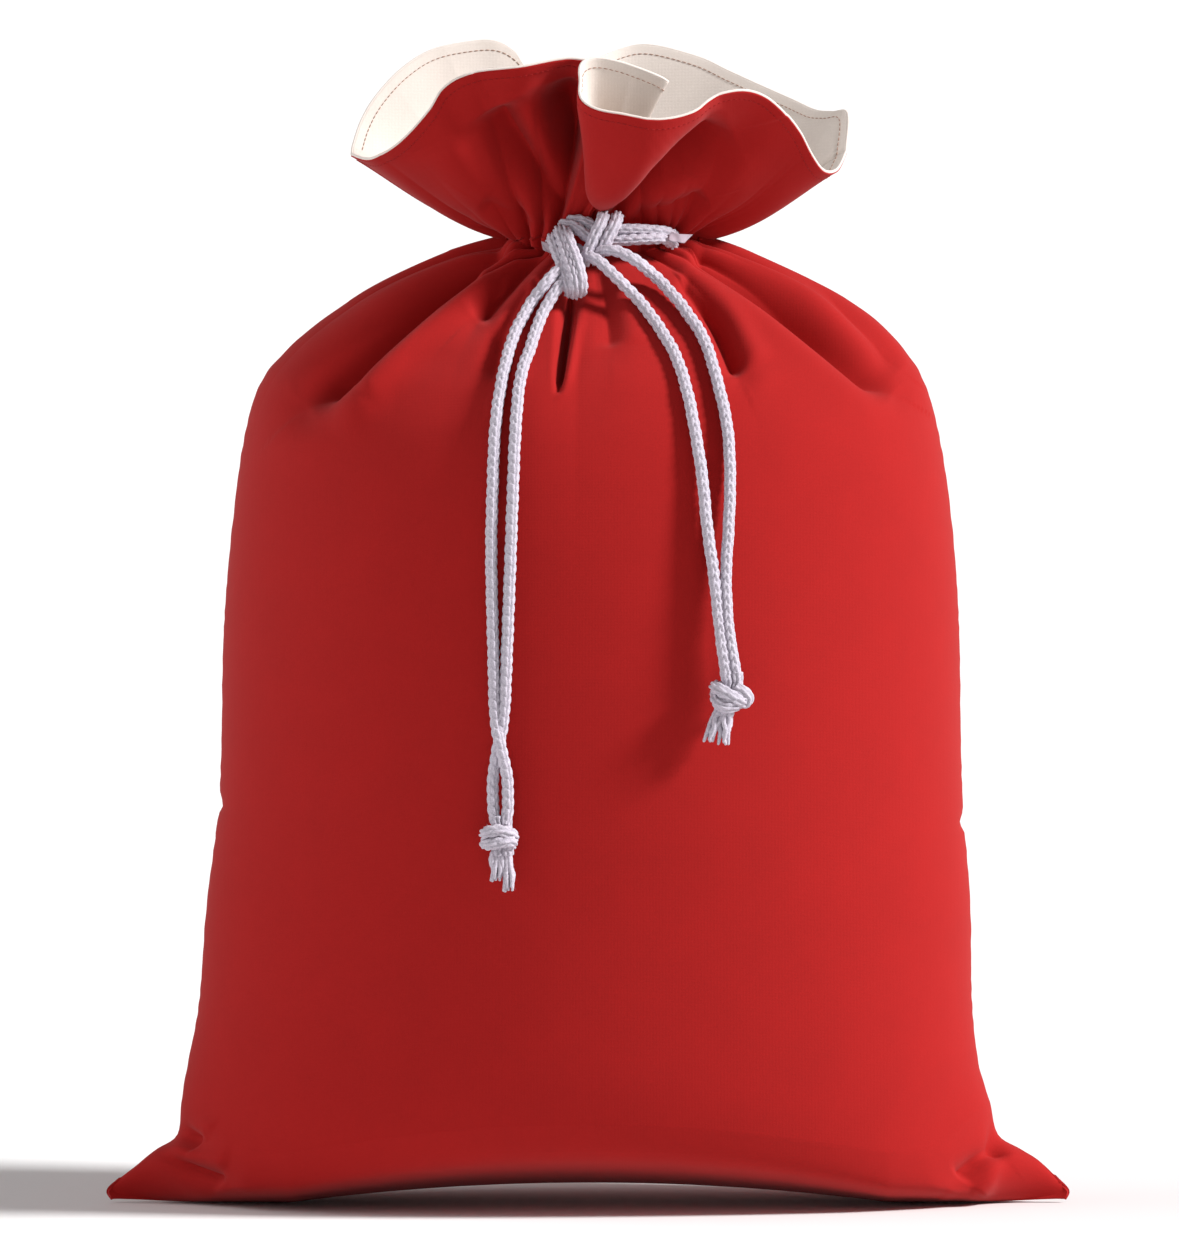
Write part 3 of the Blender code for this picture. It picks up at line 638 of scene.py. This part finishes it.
CORD_RADIUS = 0.0030
RIGHT_KNOT_RADIUS, LEFT_KNOT_RADIUS, END_KNOT_RADIUS = 0.0033, 0.0032, 0.0034
BRAID_PERIOD = 0.0052
BRAID_RELIEF = 0.30
BRAID_COLUMNS = 8
CORD_STEP = 0.0005
STRAND_SIDES, KNOT_SIDES = ((36, 32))
STRAND_FIBRES, KNOT_FIBRES = 1400, 1200  # loose fibres for each metre


def frames_along(points):
    """Tangents and two steady cross directions along a line of points."""
    tangent = np.gradient(points, axis=0)
    tangent /= np.linalg.norm(tangent, axis=1, keepdims=True)
    first = np.cross(tangent[0], (0.0, 1.0, 0.1))
    first /= np.linalg.norm(first)
    sides = [first]
    for t in tangent[1:]:
        side = sides[-1] - t * (sides[-1] @ t)
        sides.append(side / np.linalg.norm(side))
    sides = np.array(sides)
    return tangent, sides, np.cross(tangent, sides)


def braid_relief(around, along, period):
    """0..1 relief of a plaited cord: leaning bundles in columns, mirrored from column to column."""
    place = around / (2 * math.pi) * BRAID_COLUMNS
    number = np.floor(place)
    local = place - number
    lean = np.where(number % 2 == 0, 1.0, -1.0)
    phase = along / period + lean * 0.42 * (local - 0.5) + 0.5 * (number % 2)
    return np.abs(np.sin(math.pi * phase)) ** 0.45 * np.sin(math.pi * local) ** 0.35


def tube_mesh(points, radius, period, relief, sides, fibres, seed, taper=None):
    """Vertices and faces of a plaited cord with caps and a few loose fibres."""
    local = np.random.default_rng(seed)
    tangent, right, up = frames_along(points)
    steps = np.linalg.norm(np.diff(points, axis=0), axis=1)
    along = np.concatenate([[0.0], np.cumsum(steps)])
    around = np.arange(sides) * 2 * math.pi / sides
    s, a = np.meshgrid(along, around, indexing="ij")
    shape = (1 - relief) + relief * 1.25 * braid_relief(a, s + 0.0004 * np.sin(a * 2), period)
    shape = shape * (1 + 0.03 * np.sin(s * 2 * math.pi / 0.017 + a))
    if taper is not None:
        shape = shape * taper(s / along[-1])
    reach = radius * shape
    ring = np.cos(a)[..., None] * right[:, None] + np.sin(a)[..., None] * up[:, None]
    verts = points[:, None] + ring * reach[..., None]
    count = len(points)
    index = np.arange(count * sides).reshape(count, sides)
    following = np.roll(index, -1, axis=1)
    quads = np.stack([index[:-1], following[:-1], following[1:], index[1:]], axis=-1).reshape(-1, 4)
    quads = quads[:, ::-1]
    centre = len(verts.reshape(-1, 3))
    caps = np.array([points[0] - tangent[0] * radius * 0.3, points[-1] + tangent[-1] * radius * 0.3])
    first = np.stack([index[0], following[0], np.full(sides, centre)], axis=-1)
    last = np.stack([following[-1], index[-1], np.full(sides, centre + 1)], axis=-1)
    tris = [first, last]
    all_verts = [verts.reshape(-1, 3), caps]
    hairs = int(along[-1] * fibres)
    if hairs:
        row = local.integers(2, count - 2, hairs)
        column = local.integers(0, sides, hairs)
        root = verts[row, column]
        outward = ring[row, column]
        lean = tangent[row] * local.uniform(-0.9, 0.9, (hairs, 1)) + local.normal(0, 0.5, (hairs, 3))
        way = outward + lean
        way /= np.linalg.norm(way, axis=1, keepdims=True)
        length = local.uniform(0.0005, 0.0016, (hairs, 1))
        width = np.cross(way, tangent[row])
        width *= 0.00006 / np.maximum(np.linalg.norm(width, axis=1, keepdims=True), 1e-9)
        tip = root + way * length + tangent[row] * length * local.uniform(-0.4, 0.4, (hairs, 1))
        root = root - outward * 0.0002
        base = centre + 2
        all_verts.append(np.concatenate([root - width, root + width, tip]))
        k = np.arange(hairs)
        tris.append(np.stack([base + k, base + hairs + k, base + 2 * hairs + k], axis=-1))
    return np.concatenate(all_verts), [quads, np.concatenate(tris)]


def cord_line(points, step):
    """The curve through the points at an even step, and its length."""
    _, length = paced(points, [0.0])
    count = max(12, int(length / step))
    line, _ = paced(points, np.linspace(0, 1, count))
    return line, length


def plaited(name, points, seed):
    line, length = cord_line(points, CORD_STEP)
    tube = tube_mesh(line, CORD_RADIUS, BRAID_PERIOD, BRAID_RELIEF, STRAND_SIDES, STRAND_FIBRES, seed)
    made = mesh_piece(name, *tube, WHITE)
    return made, line, length


def on_front(x, z, stand_off):
    """The place in front of the unfolded sack at this x and height."""
    fine = through(PROFILE, np.linspace(0, len(PROFILE) - 1, 600))
    left, right, deep = (np.interp(z, fine[:, 3], fine[:, k]) for k in range(3))
    wide = left if x < 0 else right
    y = -deep * math.sqrt(max(0.0, 1 - (x / wide) ** 2))
    above, below = (np.interp(z + rise, fine[:, 3], fine[:, 2]) for rise in (0.004, -0.004))
    slope = (above - below) / 0.008
    lean = np.array([x / wide**2, y / deep**2])
    lean /= np.linalg.norm(lean)
    facing = abs(lean[1]) / math.sqrt(1 + slope**2)
    return np.array([x, y - stand_off / facing, z])


# Hanging strands: first places in the open in front of the neck, then (x, height, stand-off) on the sack
STRANDS = {
    "left_tail_outer_strand": (
        [(-0.0120, -0.0610, 0.4925), (-0.0170, -0.0650, 0.4885), (-0.0229, -0.0690, 0.4825)],
        [
            (-0.0296, 0.4735, 0.0055), (-0.0354, 0.4640, 0.0045), (-0.0400, 0.4540, 0.0040),
            (-0.0450, 0.4350, 0.0038), (-0.0484, 0.4105, 0.0038), (-0.0499, 0.3746, 0.0038),
            (-0.0504, 0.3435, 0.0038), (-0.0494, 0.2967, 0.0040), (-0.0484, 0.2640, 0.0042),
            (-0.0458, 0.2480, 0.0072), (-0.0430, 0.2360, 0.0062), (-0.0420, 0.2265, 0.0058),
            (-0.0420, 0.2155, 0.0065), (-0.0435, 0.2075, 0.0075),
        ],
    ),
    "left_tail_inner_strand": (
        [(-0.0100, -0.0630, 0.4880), (-0.0135, -0.0665, 0.4840), (-0.0177, -0.0700, 0.4785)],
        [
            (-0.0229, 0.4700, 0.0055), (-0.0270, 0.4610, 0.0045), (-0.0300, 0.4520, 0.0040),
            (-0.0355, 0.4357, 0.0038), (-0.0380, 0.4105, 0.0038), (-0.0395, 0.3746, 0.0038),
            (-0.0406, 0.3435, 0.0038), (-0.0424, 0.2967, 0.0038), (-0.0440, 0.2640, 0.0038),
            (-0.0468, 0.2480, 0.0036), (-0.0489, 0.2360, 0.0042), (-0.0497, 0.2255, 0.0050),
            (-0.0493, 0.2150, 0.0060), (-0.0478, 0.2075, 0.0070),
        ],
    ),
    "right_tail_outer_strand": (
        [
            (0.0050, -0.0575, 0.4985), (0.0100, -0.0610, 0.4995), (0.0160, -0.0625, 0.4985),
            (0.0250, -0.0640, 0.4935),
        ],
        [
            (0.0343, 0.4855, 0.0080), (0.0437, 0.4760, 0.0055), (0.0520, 0.4655, 0.0045),
            (0.0593, 0.4540, 0.0040), (0.0655, 0.4350, 0.0038), (0.0708, 0.4110, 0.0042),
            (0.0722, 0.3850, 0.0050), (0.0714, 0.3600, 0.0064), (0.0700, 0.3350, 0.0080),
            (0.0712, 0.3100, 0.0100), (0.0735, 0.2950, 0.0110), (0.0755, 0.2820, 0.0115),
        ],
    ),
    "right_tail_inner_strand": (
        [(-0.0010, -0.0600, 0.4965), (0.0055, -0.0650, 0.4935), (0.0146, -0.0690, 0.4850)],
        [
            (0.0250, 0.4745, 0.0055), (0.0343, 0.4630, 0.0042), (0.0440, 0.4475, 0.0038),
            (0.0500, 0.4300, 0.0038), (0.0545, 0.4080, 0.0038), (0.0580, 0.3850, 0.0045),
            (0.0605, 0.3600, 0.0060), (0.0640, 0.3350, 0.0080), (0.0662, 0.3150, 0.0095),
            (0.0680, 0.3000, 0.0108), (0.0705, 0.2820, 0.0115),
        ],
    ),
}


def strand_path(name):
    loose, laid = STRANDS[name]
    return [np.array(p) for p in loose] + [on_front(*place) for place in laid]


strands = {}
for number, name in enumerate(STRANDS):
    strands[name] = plaited(name.replace("strand", "cord"), strand_path(name), seed=20 + number)


def joined_tubes(name, tubes, body):
    """One piece of white yarn from several tubes, riding a body."""
    verts, quads, tris, total = [], [], [], 0
    for tube_verts, (tube_quads, tube_tris) in tubes:
        verts.append(tube_verts)
        quads.append(tube_quads + total)
        tris.append(tube_tris + total)
        total += len(tube_verts)
    made = mesh_piece(name, np.concatenate(verts), [np.concatenate(quads), np.concatenate(tris)], WHITE)
    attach(made, body)
    return made


def riding_knot(name, paths, body, seed, radius=CORD_RADIUS):
    """A knot is several passes of cord, made as one piece."""
    tubes = []
    for k, points in enumerate(paths):
        line, _ = cord_line(points, CORD_STEP)
        tubes.append(tube_mesh(line, radius, BRAID_PERIOD, BRAID_RELIEF, KNOT_SIDES, KNOT_FIBRES, seed + k))
    return joined_tubes(name, tubes, body)


# The knot in front: the right cord's pair stands up over the leads, the left cord's passes wrap over it
RIGHT_KNOT = [
    [
        (0.0060, -0.0400, 0.5120), (0.0072, -0.0480, 0.5165), (0.0060, -0.0545, 0.5130),
        (0.0030, -0.0560, 0.5070), (0.0005, -0.0570, 0.5010), (-0.0015, -0.0585, 0.4960),
        (-0.0030, -0.0570, 0.4920),
    ],
    [
        (0.0138, -0.0400, 0.5120), (0.0144, -0.0480, 0.5160), (0.0130, -0.0545, 0.5120),
        (0.0100, -0.0560, 0.5065), (0.0075, -0.0570, 0.5015), (0.0052, -0.0575, 0.4975),
        (0.0032, -0.0560, 0.4950),
    ],
]
LEFT_KNOT = [
    [
        (-0.0175, -0.0420, 0.5030), (-0.0190, -0.0500, 0.5050), (-0.0170, -0.0570, 0.4990),
        (-0.0140, -0.0620, 0.4920), (-0.0118, -0.0660, 0.4865), (-0.0105, -0.0690, 0.4815),
        (-0.0100, -0.0650, 0.4770),
    ],
    [
        (-0.0130, -0.0440, 0.5080), (-0.0125, -0.0530, 0.5085), (-0.0098, -0.0600, 0.5020),
        (-0.0070, -0.0650, 0.4950), (-0.0048, -0.0690, 0.4880), (-0.0040, -0.0705, 0.4820),
        (-0.0045, -0.0660, 0.4775),
    ],
    [
        (-0.0150, -0.0430, 0.5080), (-0.0155, -0.0520, 0.5085), (-0.0132, -0.0590, 0.5010),
        (-0.0106, -0.0645, 0.4935), (-0.0082, -0.0690, 0.4870), (-0.0072, -0.0710, 0.4810),
        (-0.0075, -0.0660, 0.4765),
    ],
    [
        (-0.0150, -0.0440, 0.5115), (-0.0090, -0.0470, 0.5115), (-0.0040, -0.0500, 0.5085),
        (0.0005, -0.0520, 0.5045), (0.0030, -0.0500, 0.4990),
    ],
    [
        (-0.0110, -0.0420, 0.5135), (-0.0040, -0.0450, 0.5135), (0.0020, -0.0470, 0.5110),
        (0.0070, -0.0480, 0.5070),
    ],
    [
        (-0.0150, -0.0430, 0.5000), (-0.0060, -0.0500, 0.4990), (0.0010, -0.0540, 0.4960),
        (0.0040, -0.0560, 0.4930),
    ],
]
right_knot = riding_knot("right_cord_front_knot", RIGHT_KNOT, "sack", 40, RIGHT_KNOT_RADIUS)
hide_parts("right_cord_knot")
left_knot = riding_knot("left_cord_front_knot", LEFT_KNOT, "sack", 50, LEFT_KNOT_RADIUS)
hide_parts("left_cord_knot")

# The leads from the knot to the slots, and round the casing inside
RIGHT_LEADS = [
    [
        (0.0040, -0.0490, 0.5095), (0.0160, -0.0465, 0.5095), (0.0290, -0.0430, 0.5090),
        (0.0380, -0.0385, 0.5080), (0.0430, -0.0310, 0.5060), (0.0440, -0.0200, 0.5035),
    ],
    [
        (0.0040, -0.0490, 0.5040), (0.0160, -0.0475, 0.5040), (0.0290, -0.0450, 0.5045),
        (0.0380, -0.0400, 0.5045), (0.0425, -0.0310, 0.5015), (0.0430, -0.0200, 0.4990),
    ],
]
LEFT_LEADS = [
    [
        (-0.0120, -0.0440, 0.5060), (-0.0180, -0.0400, 0.5040), (-0.0205, -0.0330, 0.5025),
        (-0.0210, -0.0200, 0.5005),
    ],
    [
        (-0.0130, -0.0430, 0.5005), (-0.0175, -0.0390, 0.4995), (-0.0200, -0.0310, 0.4990),
        (-0.0205, -0.0180, 0.4985),
    ],
]


CASING_X, CASING_Y, CASING_SHIFT = 0.0430, 0.0270, 0.0065


def casing_run(side, height):
    """The part of a drawcord that lies hidden in the casing around the neck."""
    angles = np.radians(np.linspace(160, -160, 40))
    return [(side * CASING_X * math.cos(a) + CASING_SHIFT, CASING_Y * math.sin(a), height) for a in angles]


right_loop = riding_knot("right_drawcord", RIGHT_LEADS + [casing_run(-1, 0.5030)], "sack", 60)
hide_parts("right_drawcord_loop")
left_loop = riding_knot("left_drawcord", LEFT_LEADS + [casing_run(1, 0.4965)], "sack", 70)
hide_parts("left_drawcord_loop")


# ---------------------------------------------------------------- end knots and frayed ends


def about(centre, offsets):
    """A pass of cord given by its places from the knot's centre."""
    return [tuple(np.asarray(centre) + np.array(offset)) for offset in offsets]


def thinning(t):
    return 1.0 - 0.45 * np.clip((t - 0.6) / 0.4, 0, 1) ** 1.5


YARNS = 8
YARN = (0.00135, 0.0028, 0.34, 14, 5000)  # radius, braid period, relief, sides, loose fibres for each metre
YARN_STEP = 0.0008


def frayed(name, top, bottom, spread, seed, body):
    """A cut cord end whose yarns have come apart: a ring of yarns around one in the middle."""
    local = np.random.default_rng(seed)
    tubes = []
    for k in range(YARNS):
        a = 2 * math.pi * k / (YARNS - 1) + local.uniform(-0.25, 0.25)
        out_way = np.array([math.cos(a), math.sin(a) * 0.8, 0.0]) * (k < YARNS - 1)
        way_down = (bottom - top) * local.uniform(0.75, 1.0)
        end = top + way_down + out_way * spread * local.uniform(0.7, 1.15)
        wave = local.normal(0, 0.0006, 3)
        line = [top + out_way * 0.0016, top + (end - top) * 0.35 + out_way * 0.0014 + wave]
        line += [top + (end - top) * 0.7 + out_way * 0.0006 - wave, end]
        line, _ = cord_line(line, YARN_STEP)
        tubes.append(tube_mesh(line, *YARN, seed * 31 + k, thinning))
    return joined_tubes(name, tubes, body)


def strands_end(side):
    """Where a tail's two strands end, side by side."""
    outer, inner = (strand_path("%s_tail_%s_strand" % (side, which))[-1] for which in ("outer", "inner"))
    return outer * 0.5 + inner * 0.5


left_end, right_end = strands_end("left"), strands_end("right")
left_passes = [
    about(left_end, [(-0.0020, 0.0, 0.0040), (-0.0015, 0.0, -0.0040), (-0.0015, 0.0, -0.0160)]),
    about(left_end, [(0.0026, 0.0, 0.0040), (0.0026, 0.0, -0.0040), (0.0035, 0.0, -0.0160)]),
    about(
        left_end,
        [
            (-0.0060, 0.0022, -0.0050), (-0.0078, -0.0015, -0.0050), (-0.0056, -0.0048, -0.0038),
            (-0.0008, -0.0062, -0.0032), (0.0040, -0.0046, -0.0042), (0.0060, -0.0010, -0.0056),
            (0.0052, 0.0020, -0.0070),
        ],
    ),
    about(
        left_end,
        [
            (-0.0058, 0.0020, -0.0082), (-0.0076, -0.0015, -0.0098), (-0.0048, -0.0050, -0.0096),
            (0.0002, -0.0060, -0.0086), (0.0044, -0.0044, -0.0084), (0.0060, -0.0008, -0.0098),
        ],
    ),
]
right_passes = [
    about(right_end, [(-0.0025, 0.0, 0.0040), (-0.0020, 0.0, -0.0040), (-0.0060, 0.0, -0.0180)]),
    about(right_end, [(0.0025, 0.0, 0.0040), (0.0020, 0.0, -0.0040), (-0.0025, 0.0, -0.0180)]),
    about(
        right_end,
        [
            (-0.0072, 0.0030, -0.0036), (-0.0082, -0.0010, -0.0036), (-0.0052, -0.0048, -0.0052),
            (-0.0004, -0.0060, -0.0080), (0.0040, -0.0045, -0.0104), (0.0058, -0.0008, -0.0112),
        ],
    ),
    about(
        right_end,
        [
            (0.0020, -0.0020, -0.0040), (0.0052, -0.0024, -0.0058), (0.0080, -0.0018, -0.0086),
            (0.0074, -0.0010, -0.0112), (0.0040, 0.0016, -0.0116),
        ],
    ),
    about(
        right_end,
        [
            (-0.0078, 0.0020, -0.0078), (-0.0076, -0.0022, -0.0104), (-0.0046, -0.0052, -0.0128),
            (-0.0008, -0.0050, -0.0134), (0.0020, -0.0018, -0.0126),
        ],
    ),
]
left_end_knot = riding_knot("left_stopper_knot", left_passes, "left_tail", 80, END_KNOT_RADIUS)
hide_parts("left_end_knot")
right_end_knot = riding_knot("right_stopper_knot", right_passes, "right_tail", 90, END_KNOT_RADIUS)
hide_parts("right_end_knot")

FRAY_SEEDS = {"left": 11, "right": 12}
frayed_pieces = {"left": [], "right": []}
for side, label, shift, drop, spread in (
    ("left", "outer", (-0.0015, 0.0, -0.0120), (-0.0028, -0.0002, -0.0315), 0.0022),
    ("left", "inner", (0.0030, 0.0, -0.0120), (0.0040, -0.0002, -0.0375), 0.0022),
    ("right", "outer", (-0.0058, 0.0, -0.0145), (-0.0120, -0.0002, -0.0320), 0.0026),
    ("right", "inner", (-0.0028, 0.0, -0.0145), (-0.0040, -0.0002, -0.0335), 0.0030),
):
    end = left_end if side == "left" else right_end
    top, bottom = end + np.array(shift), end + np.array(drop)
    piece = frayed(side + "_frayed_yarns_" + label, top, bottom, spread, FRAY_SEEDS[side], side + "_tail")
    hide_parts(side + "_frayed_end_" + label)
    frayed_pieces[side].append(piece)

TAIL_PIVOTS = {"left": (-0.0170, -0.0660, 0.4820), "right": (0.0095, -0.0670, 0.4945)}
BLEND_ABOVE, BLEND_BELOW = 0.004, 0.016
for name, (made, line, length) in strands.items():
    side = name.split("_")[0]
    pivot = Vector(TAIL_PIVOTS[side])
    end = pivot + Vector((0.0, 0.0, -BLEND_BELOW))
    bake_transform(made)
    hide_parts(name)

# ---------------------------------------------------------------- the rolled edge, stitches and seams


HEM_RADIUS, HEM_INSET = 0.00078, 0.0013
STITCH_DEPTH, STITCH_PITCH, STITCH_LONG = 0.0052, 0.0030, 0.0021
STITCH_HALF_WIDTH, STITCH_HALF_HEIGHT = 0.00028, 0.00016
SEAM_THREAD_RADIUS, SEAM_THREAD_INSET = 0.0005, 0.0001


def plain_tube(name, points, radius, material, closed=False, sides=10):
    points = np.asarray(points, float)
    if closed:
        points = np.concatenate([points, points[:1]])
    tangent, right, up = frames_along(points)
    a = np.arange(sides) * 2 * math.pi / sides
    ring = np.cos(a)[None, :, None] * right[:, None] + np.sin(a)[None, :, None] * up[:, None]
    verts = (points[:, None] + ring * radius).reshape(-1, 3)
    index = np.arange(len(points) * sides).reshape(len(points), sides)
    following = np.roll(index, -1, axis=1)
    quads = np.stack([index[:-1], index[1:], following[1:], following[:-1]], axis=-1).reshape(-1, 4)
    caps = [index[0][None, :], index[-1][::-1][None, :]]
    made = mesh_piece(name, verts, [quads, np.concatenate(caps)], material)
    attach(made, "sack")
    return made


rim_line = (grid[-1] - out[-1] * HEM_INSET)[:-1]
hem = plain_tube("mouth_rolled_edge", rim_line, HEM_RADIUS, EDGE, closed=True)
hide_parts("mouth_hem")


def at_depth(values, far):
    """The values at the stitches' depth, one for each column, with how far each row is from the edge."""
    return np.array(
        [[np.interp(STITCH_DEPTH, far[:, c], values[:, c, k]) for k in range(3)] for c in range(COLUMNS)]
    )


def stitches(name, offset, material):
    """A row of machine stitches at a set distance below the mouth's edge."""
    steps = np.linalg.norm(np.diff(grid[-COLLAR_ROWS:], axis=0), axis=2)
    from_edge = np.concatenate([[np.zeros(COLUMNS + 1)], np.cumsum(steps[::-1], axis=0)])
    line = at_depth(grid[-COLLAR_ROWS:][::-1], from_edge)
    way = at_depth(out[-COLLAR_ROWS:][::-1], from_edge)
    line = line + way * offset
    length = np.concatenate([[0.0], np.cumsum(np.linalg.norm(np.diff(line, axis=0), axis=1))])
    verts, quads = [], []
    for i in range(int(length[-1] / STITCH_PITCH)):
        a, b = i * STITCH_PITCH, i * STITCH_PITCH + STITCH_LONG
        p, q = (np.array([np.interp(t, length, line[:, k]) for k in range(3)]) for t in (a, b))
        n = np.array([np.interp(a, length, way[:, k]) for k in range(3)])
        n /= np.linalg.norm(n)
        t = (q - p) / np.linalg.norm(q - p)
        w = np.cross(n, t) * STITCH_HALF_WIDTH
        h = n * STITCH_HALF_HEIGHT
        start = len(verts)
        for middle, size in ((p, 0.5), ((p + q) / 2, 1.0), (q, 0.5)):
            low, high = w * size, w * size * 0.7
            verts += [middle - low - h, middle + low - h]
            verts += [middle + high + h * size, middle - high + h * size]
        for ring in (0, 4):
            for k in range(4):
                a0, a1 = start + ring + k, start + ring + (k + 1) % 4
                quads.append((a0, a1, a1 + 4, a0 + 4))
        quads += [(start + 3, start + 2, start + 1, start), (start + 8, start + 9, start + 10, start + 11)]
    made = mesh_piece(name, np.array(verts), [np.array(quads)], material)
    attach(made, "sack")


inner_side = -(OUTER_THICKNESS + LINING_THICKNESS + 0.0003)
stitches("mouth_stitches_lining", inner_side, TAN_THREAD)
stitches("mouth_stitches_outer", 0.00006, RED_THREAD)

neck_row = BASE_ROWS + BODY_ROWS
half = COLUMNS // 2
for side, column in (("left", 0), ("right", half)):
    for label, rows in (("side", slice(2, neck_row - 6)), ("collar", slice(neck_row + NECK_ROWS + 8, -4))):
        line = grid[rows, column] - out[rows, column] * SEAM_THREAD_INSET
        name = side + "_" + label + "_seam"
        seam = plain_tube(name + "_thread", line, SEAM_THREAD_RADIUS, RED, sides=6)
        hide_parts(name)
base_line = grid[0, 4 : half - 3] + np.array((0.0, 0.0, 0.0006))
seam = plain_tube("base_seam_thread", base_line, SEAM_THREAD_RADIUS, RED, sides=6)
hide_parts("bottom_seam")


def slot_edge(name, corners):
    """A small corner of cream cloth that shows where the cords come out of the casing, coloured darker and
    greyer as painted shade for the slot's recess.
    """
    a, b, c, d = (np.array(corner) for corner in corners)
    u, v = np.meshgrid(np.linspace(0, 1, 14), np.linspace(0, 1, 10))
    u, v = u[..., None], v[..., None]
    skin = a * (1 - u) * (1 - v) + b * u * (1 - v) + c * u * v + d * (1 - u) * v
    skin[..., 1] -= 0.0012 * np.sin(math.pi * u[..., 0]) + 0.0006 * np.sin(9 * u[..., 0] + 4 * v[..., 0])
    made = thick_sheet(name, skin, skin + np.array((0.0, 0.0007, 0.0)), SHADED_SLOT_CLOTH)
    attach(made, "sack")


slot_edge(
    "right_slot_edge",
    [
        (0.0405, -0.0430, 0.5035),
        (0.0490, -0.0400, 0.5020),
        (0.0535, -0.0340, 0.5062),
        (0.0415, -0.0410, 0.5072),
    ],
)
slot_edge(
    "left_slot_edge",
    [
        (-0.0240, -0.0400, 0.4985),
        (-0.0175, -0.0440, 0.4960),
        (-0.0185, -0.0430, 0.5015),
        (-0.0250, -0.0390, 0.5030),
    ],
)

# ---------------------------------------------------------------- floor and light


def make_stage():
    mesh = bpy.data.meshes.new("studio_floor")
    size = 60.0
    corners = [(-size, -size, 0), (size, -size, 0), (size, size, 0), (-size, size, 0)]
    mesh.from_pydata(corners, [], [(0, 1, 2, 3)])
    mesh.materials.append(new_material("studio_floor_white", (0.84, 0.84, 0.84), 0.95)[0])
    floor = bpy.data.objects.new("studio_floor", mesh)
    floor.location.z = -0.0004
    bpy.context.scene.collection.objects.link(floor)


def sun_light(name, azimuth, elevation, strength, spread):
    """Even light from one direction; spread is how wide the source looks, in degrees."""
    data = bpy.data.lights.new(name, "SUN")
    data.energy = strength
    data.angle = math.radians(spread)
    lamp = bpy.data.objects.new(name, data)
    a, e = math.radians(azimuth), math.radians(elevation)
    way = Vector((math.sin(a) * math.cos(e), -math.cos(a) * math.cos(e), math.sin(e)))
    lamp.location = Vector((0, 0, 0.3)) + way * 3.0
    lamp.rotation_mode = "QUATERNION"
    lamp.rotation_quaternion = way.to_track_quat("Z", "Y")
    bpy.context.scene.collection.objects.link(lamp)


make_stage()
sun_light("key_light", 77, 33, 5.3, 12)
sun_light("left_fill_light", -85, 20, 1.6, 60)
world = bpy.data.worlds.new("studio_world")
bpy.context.scene.world = world
world.use_nodes = True
world.node_tree.nodes["Background"].inputs["Color"].default_value = (1.0, 1.0, 1.0, 1.0)
world.node_tree.nodes["Background"].inputs["Strength"].default_value = 0.24
bpy.context.scene.view_settings.view_transform = "Standard"
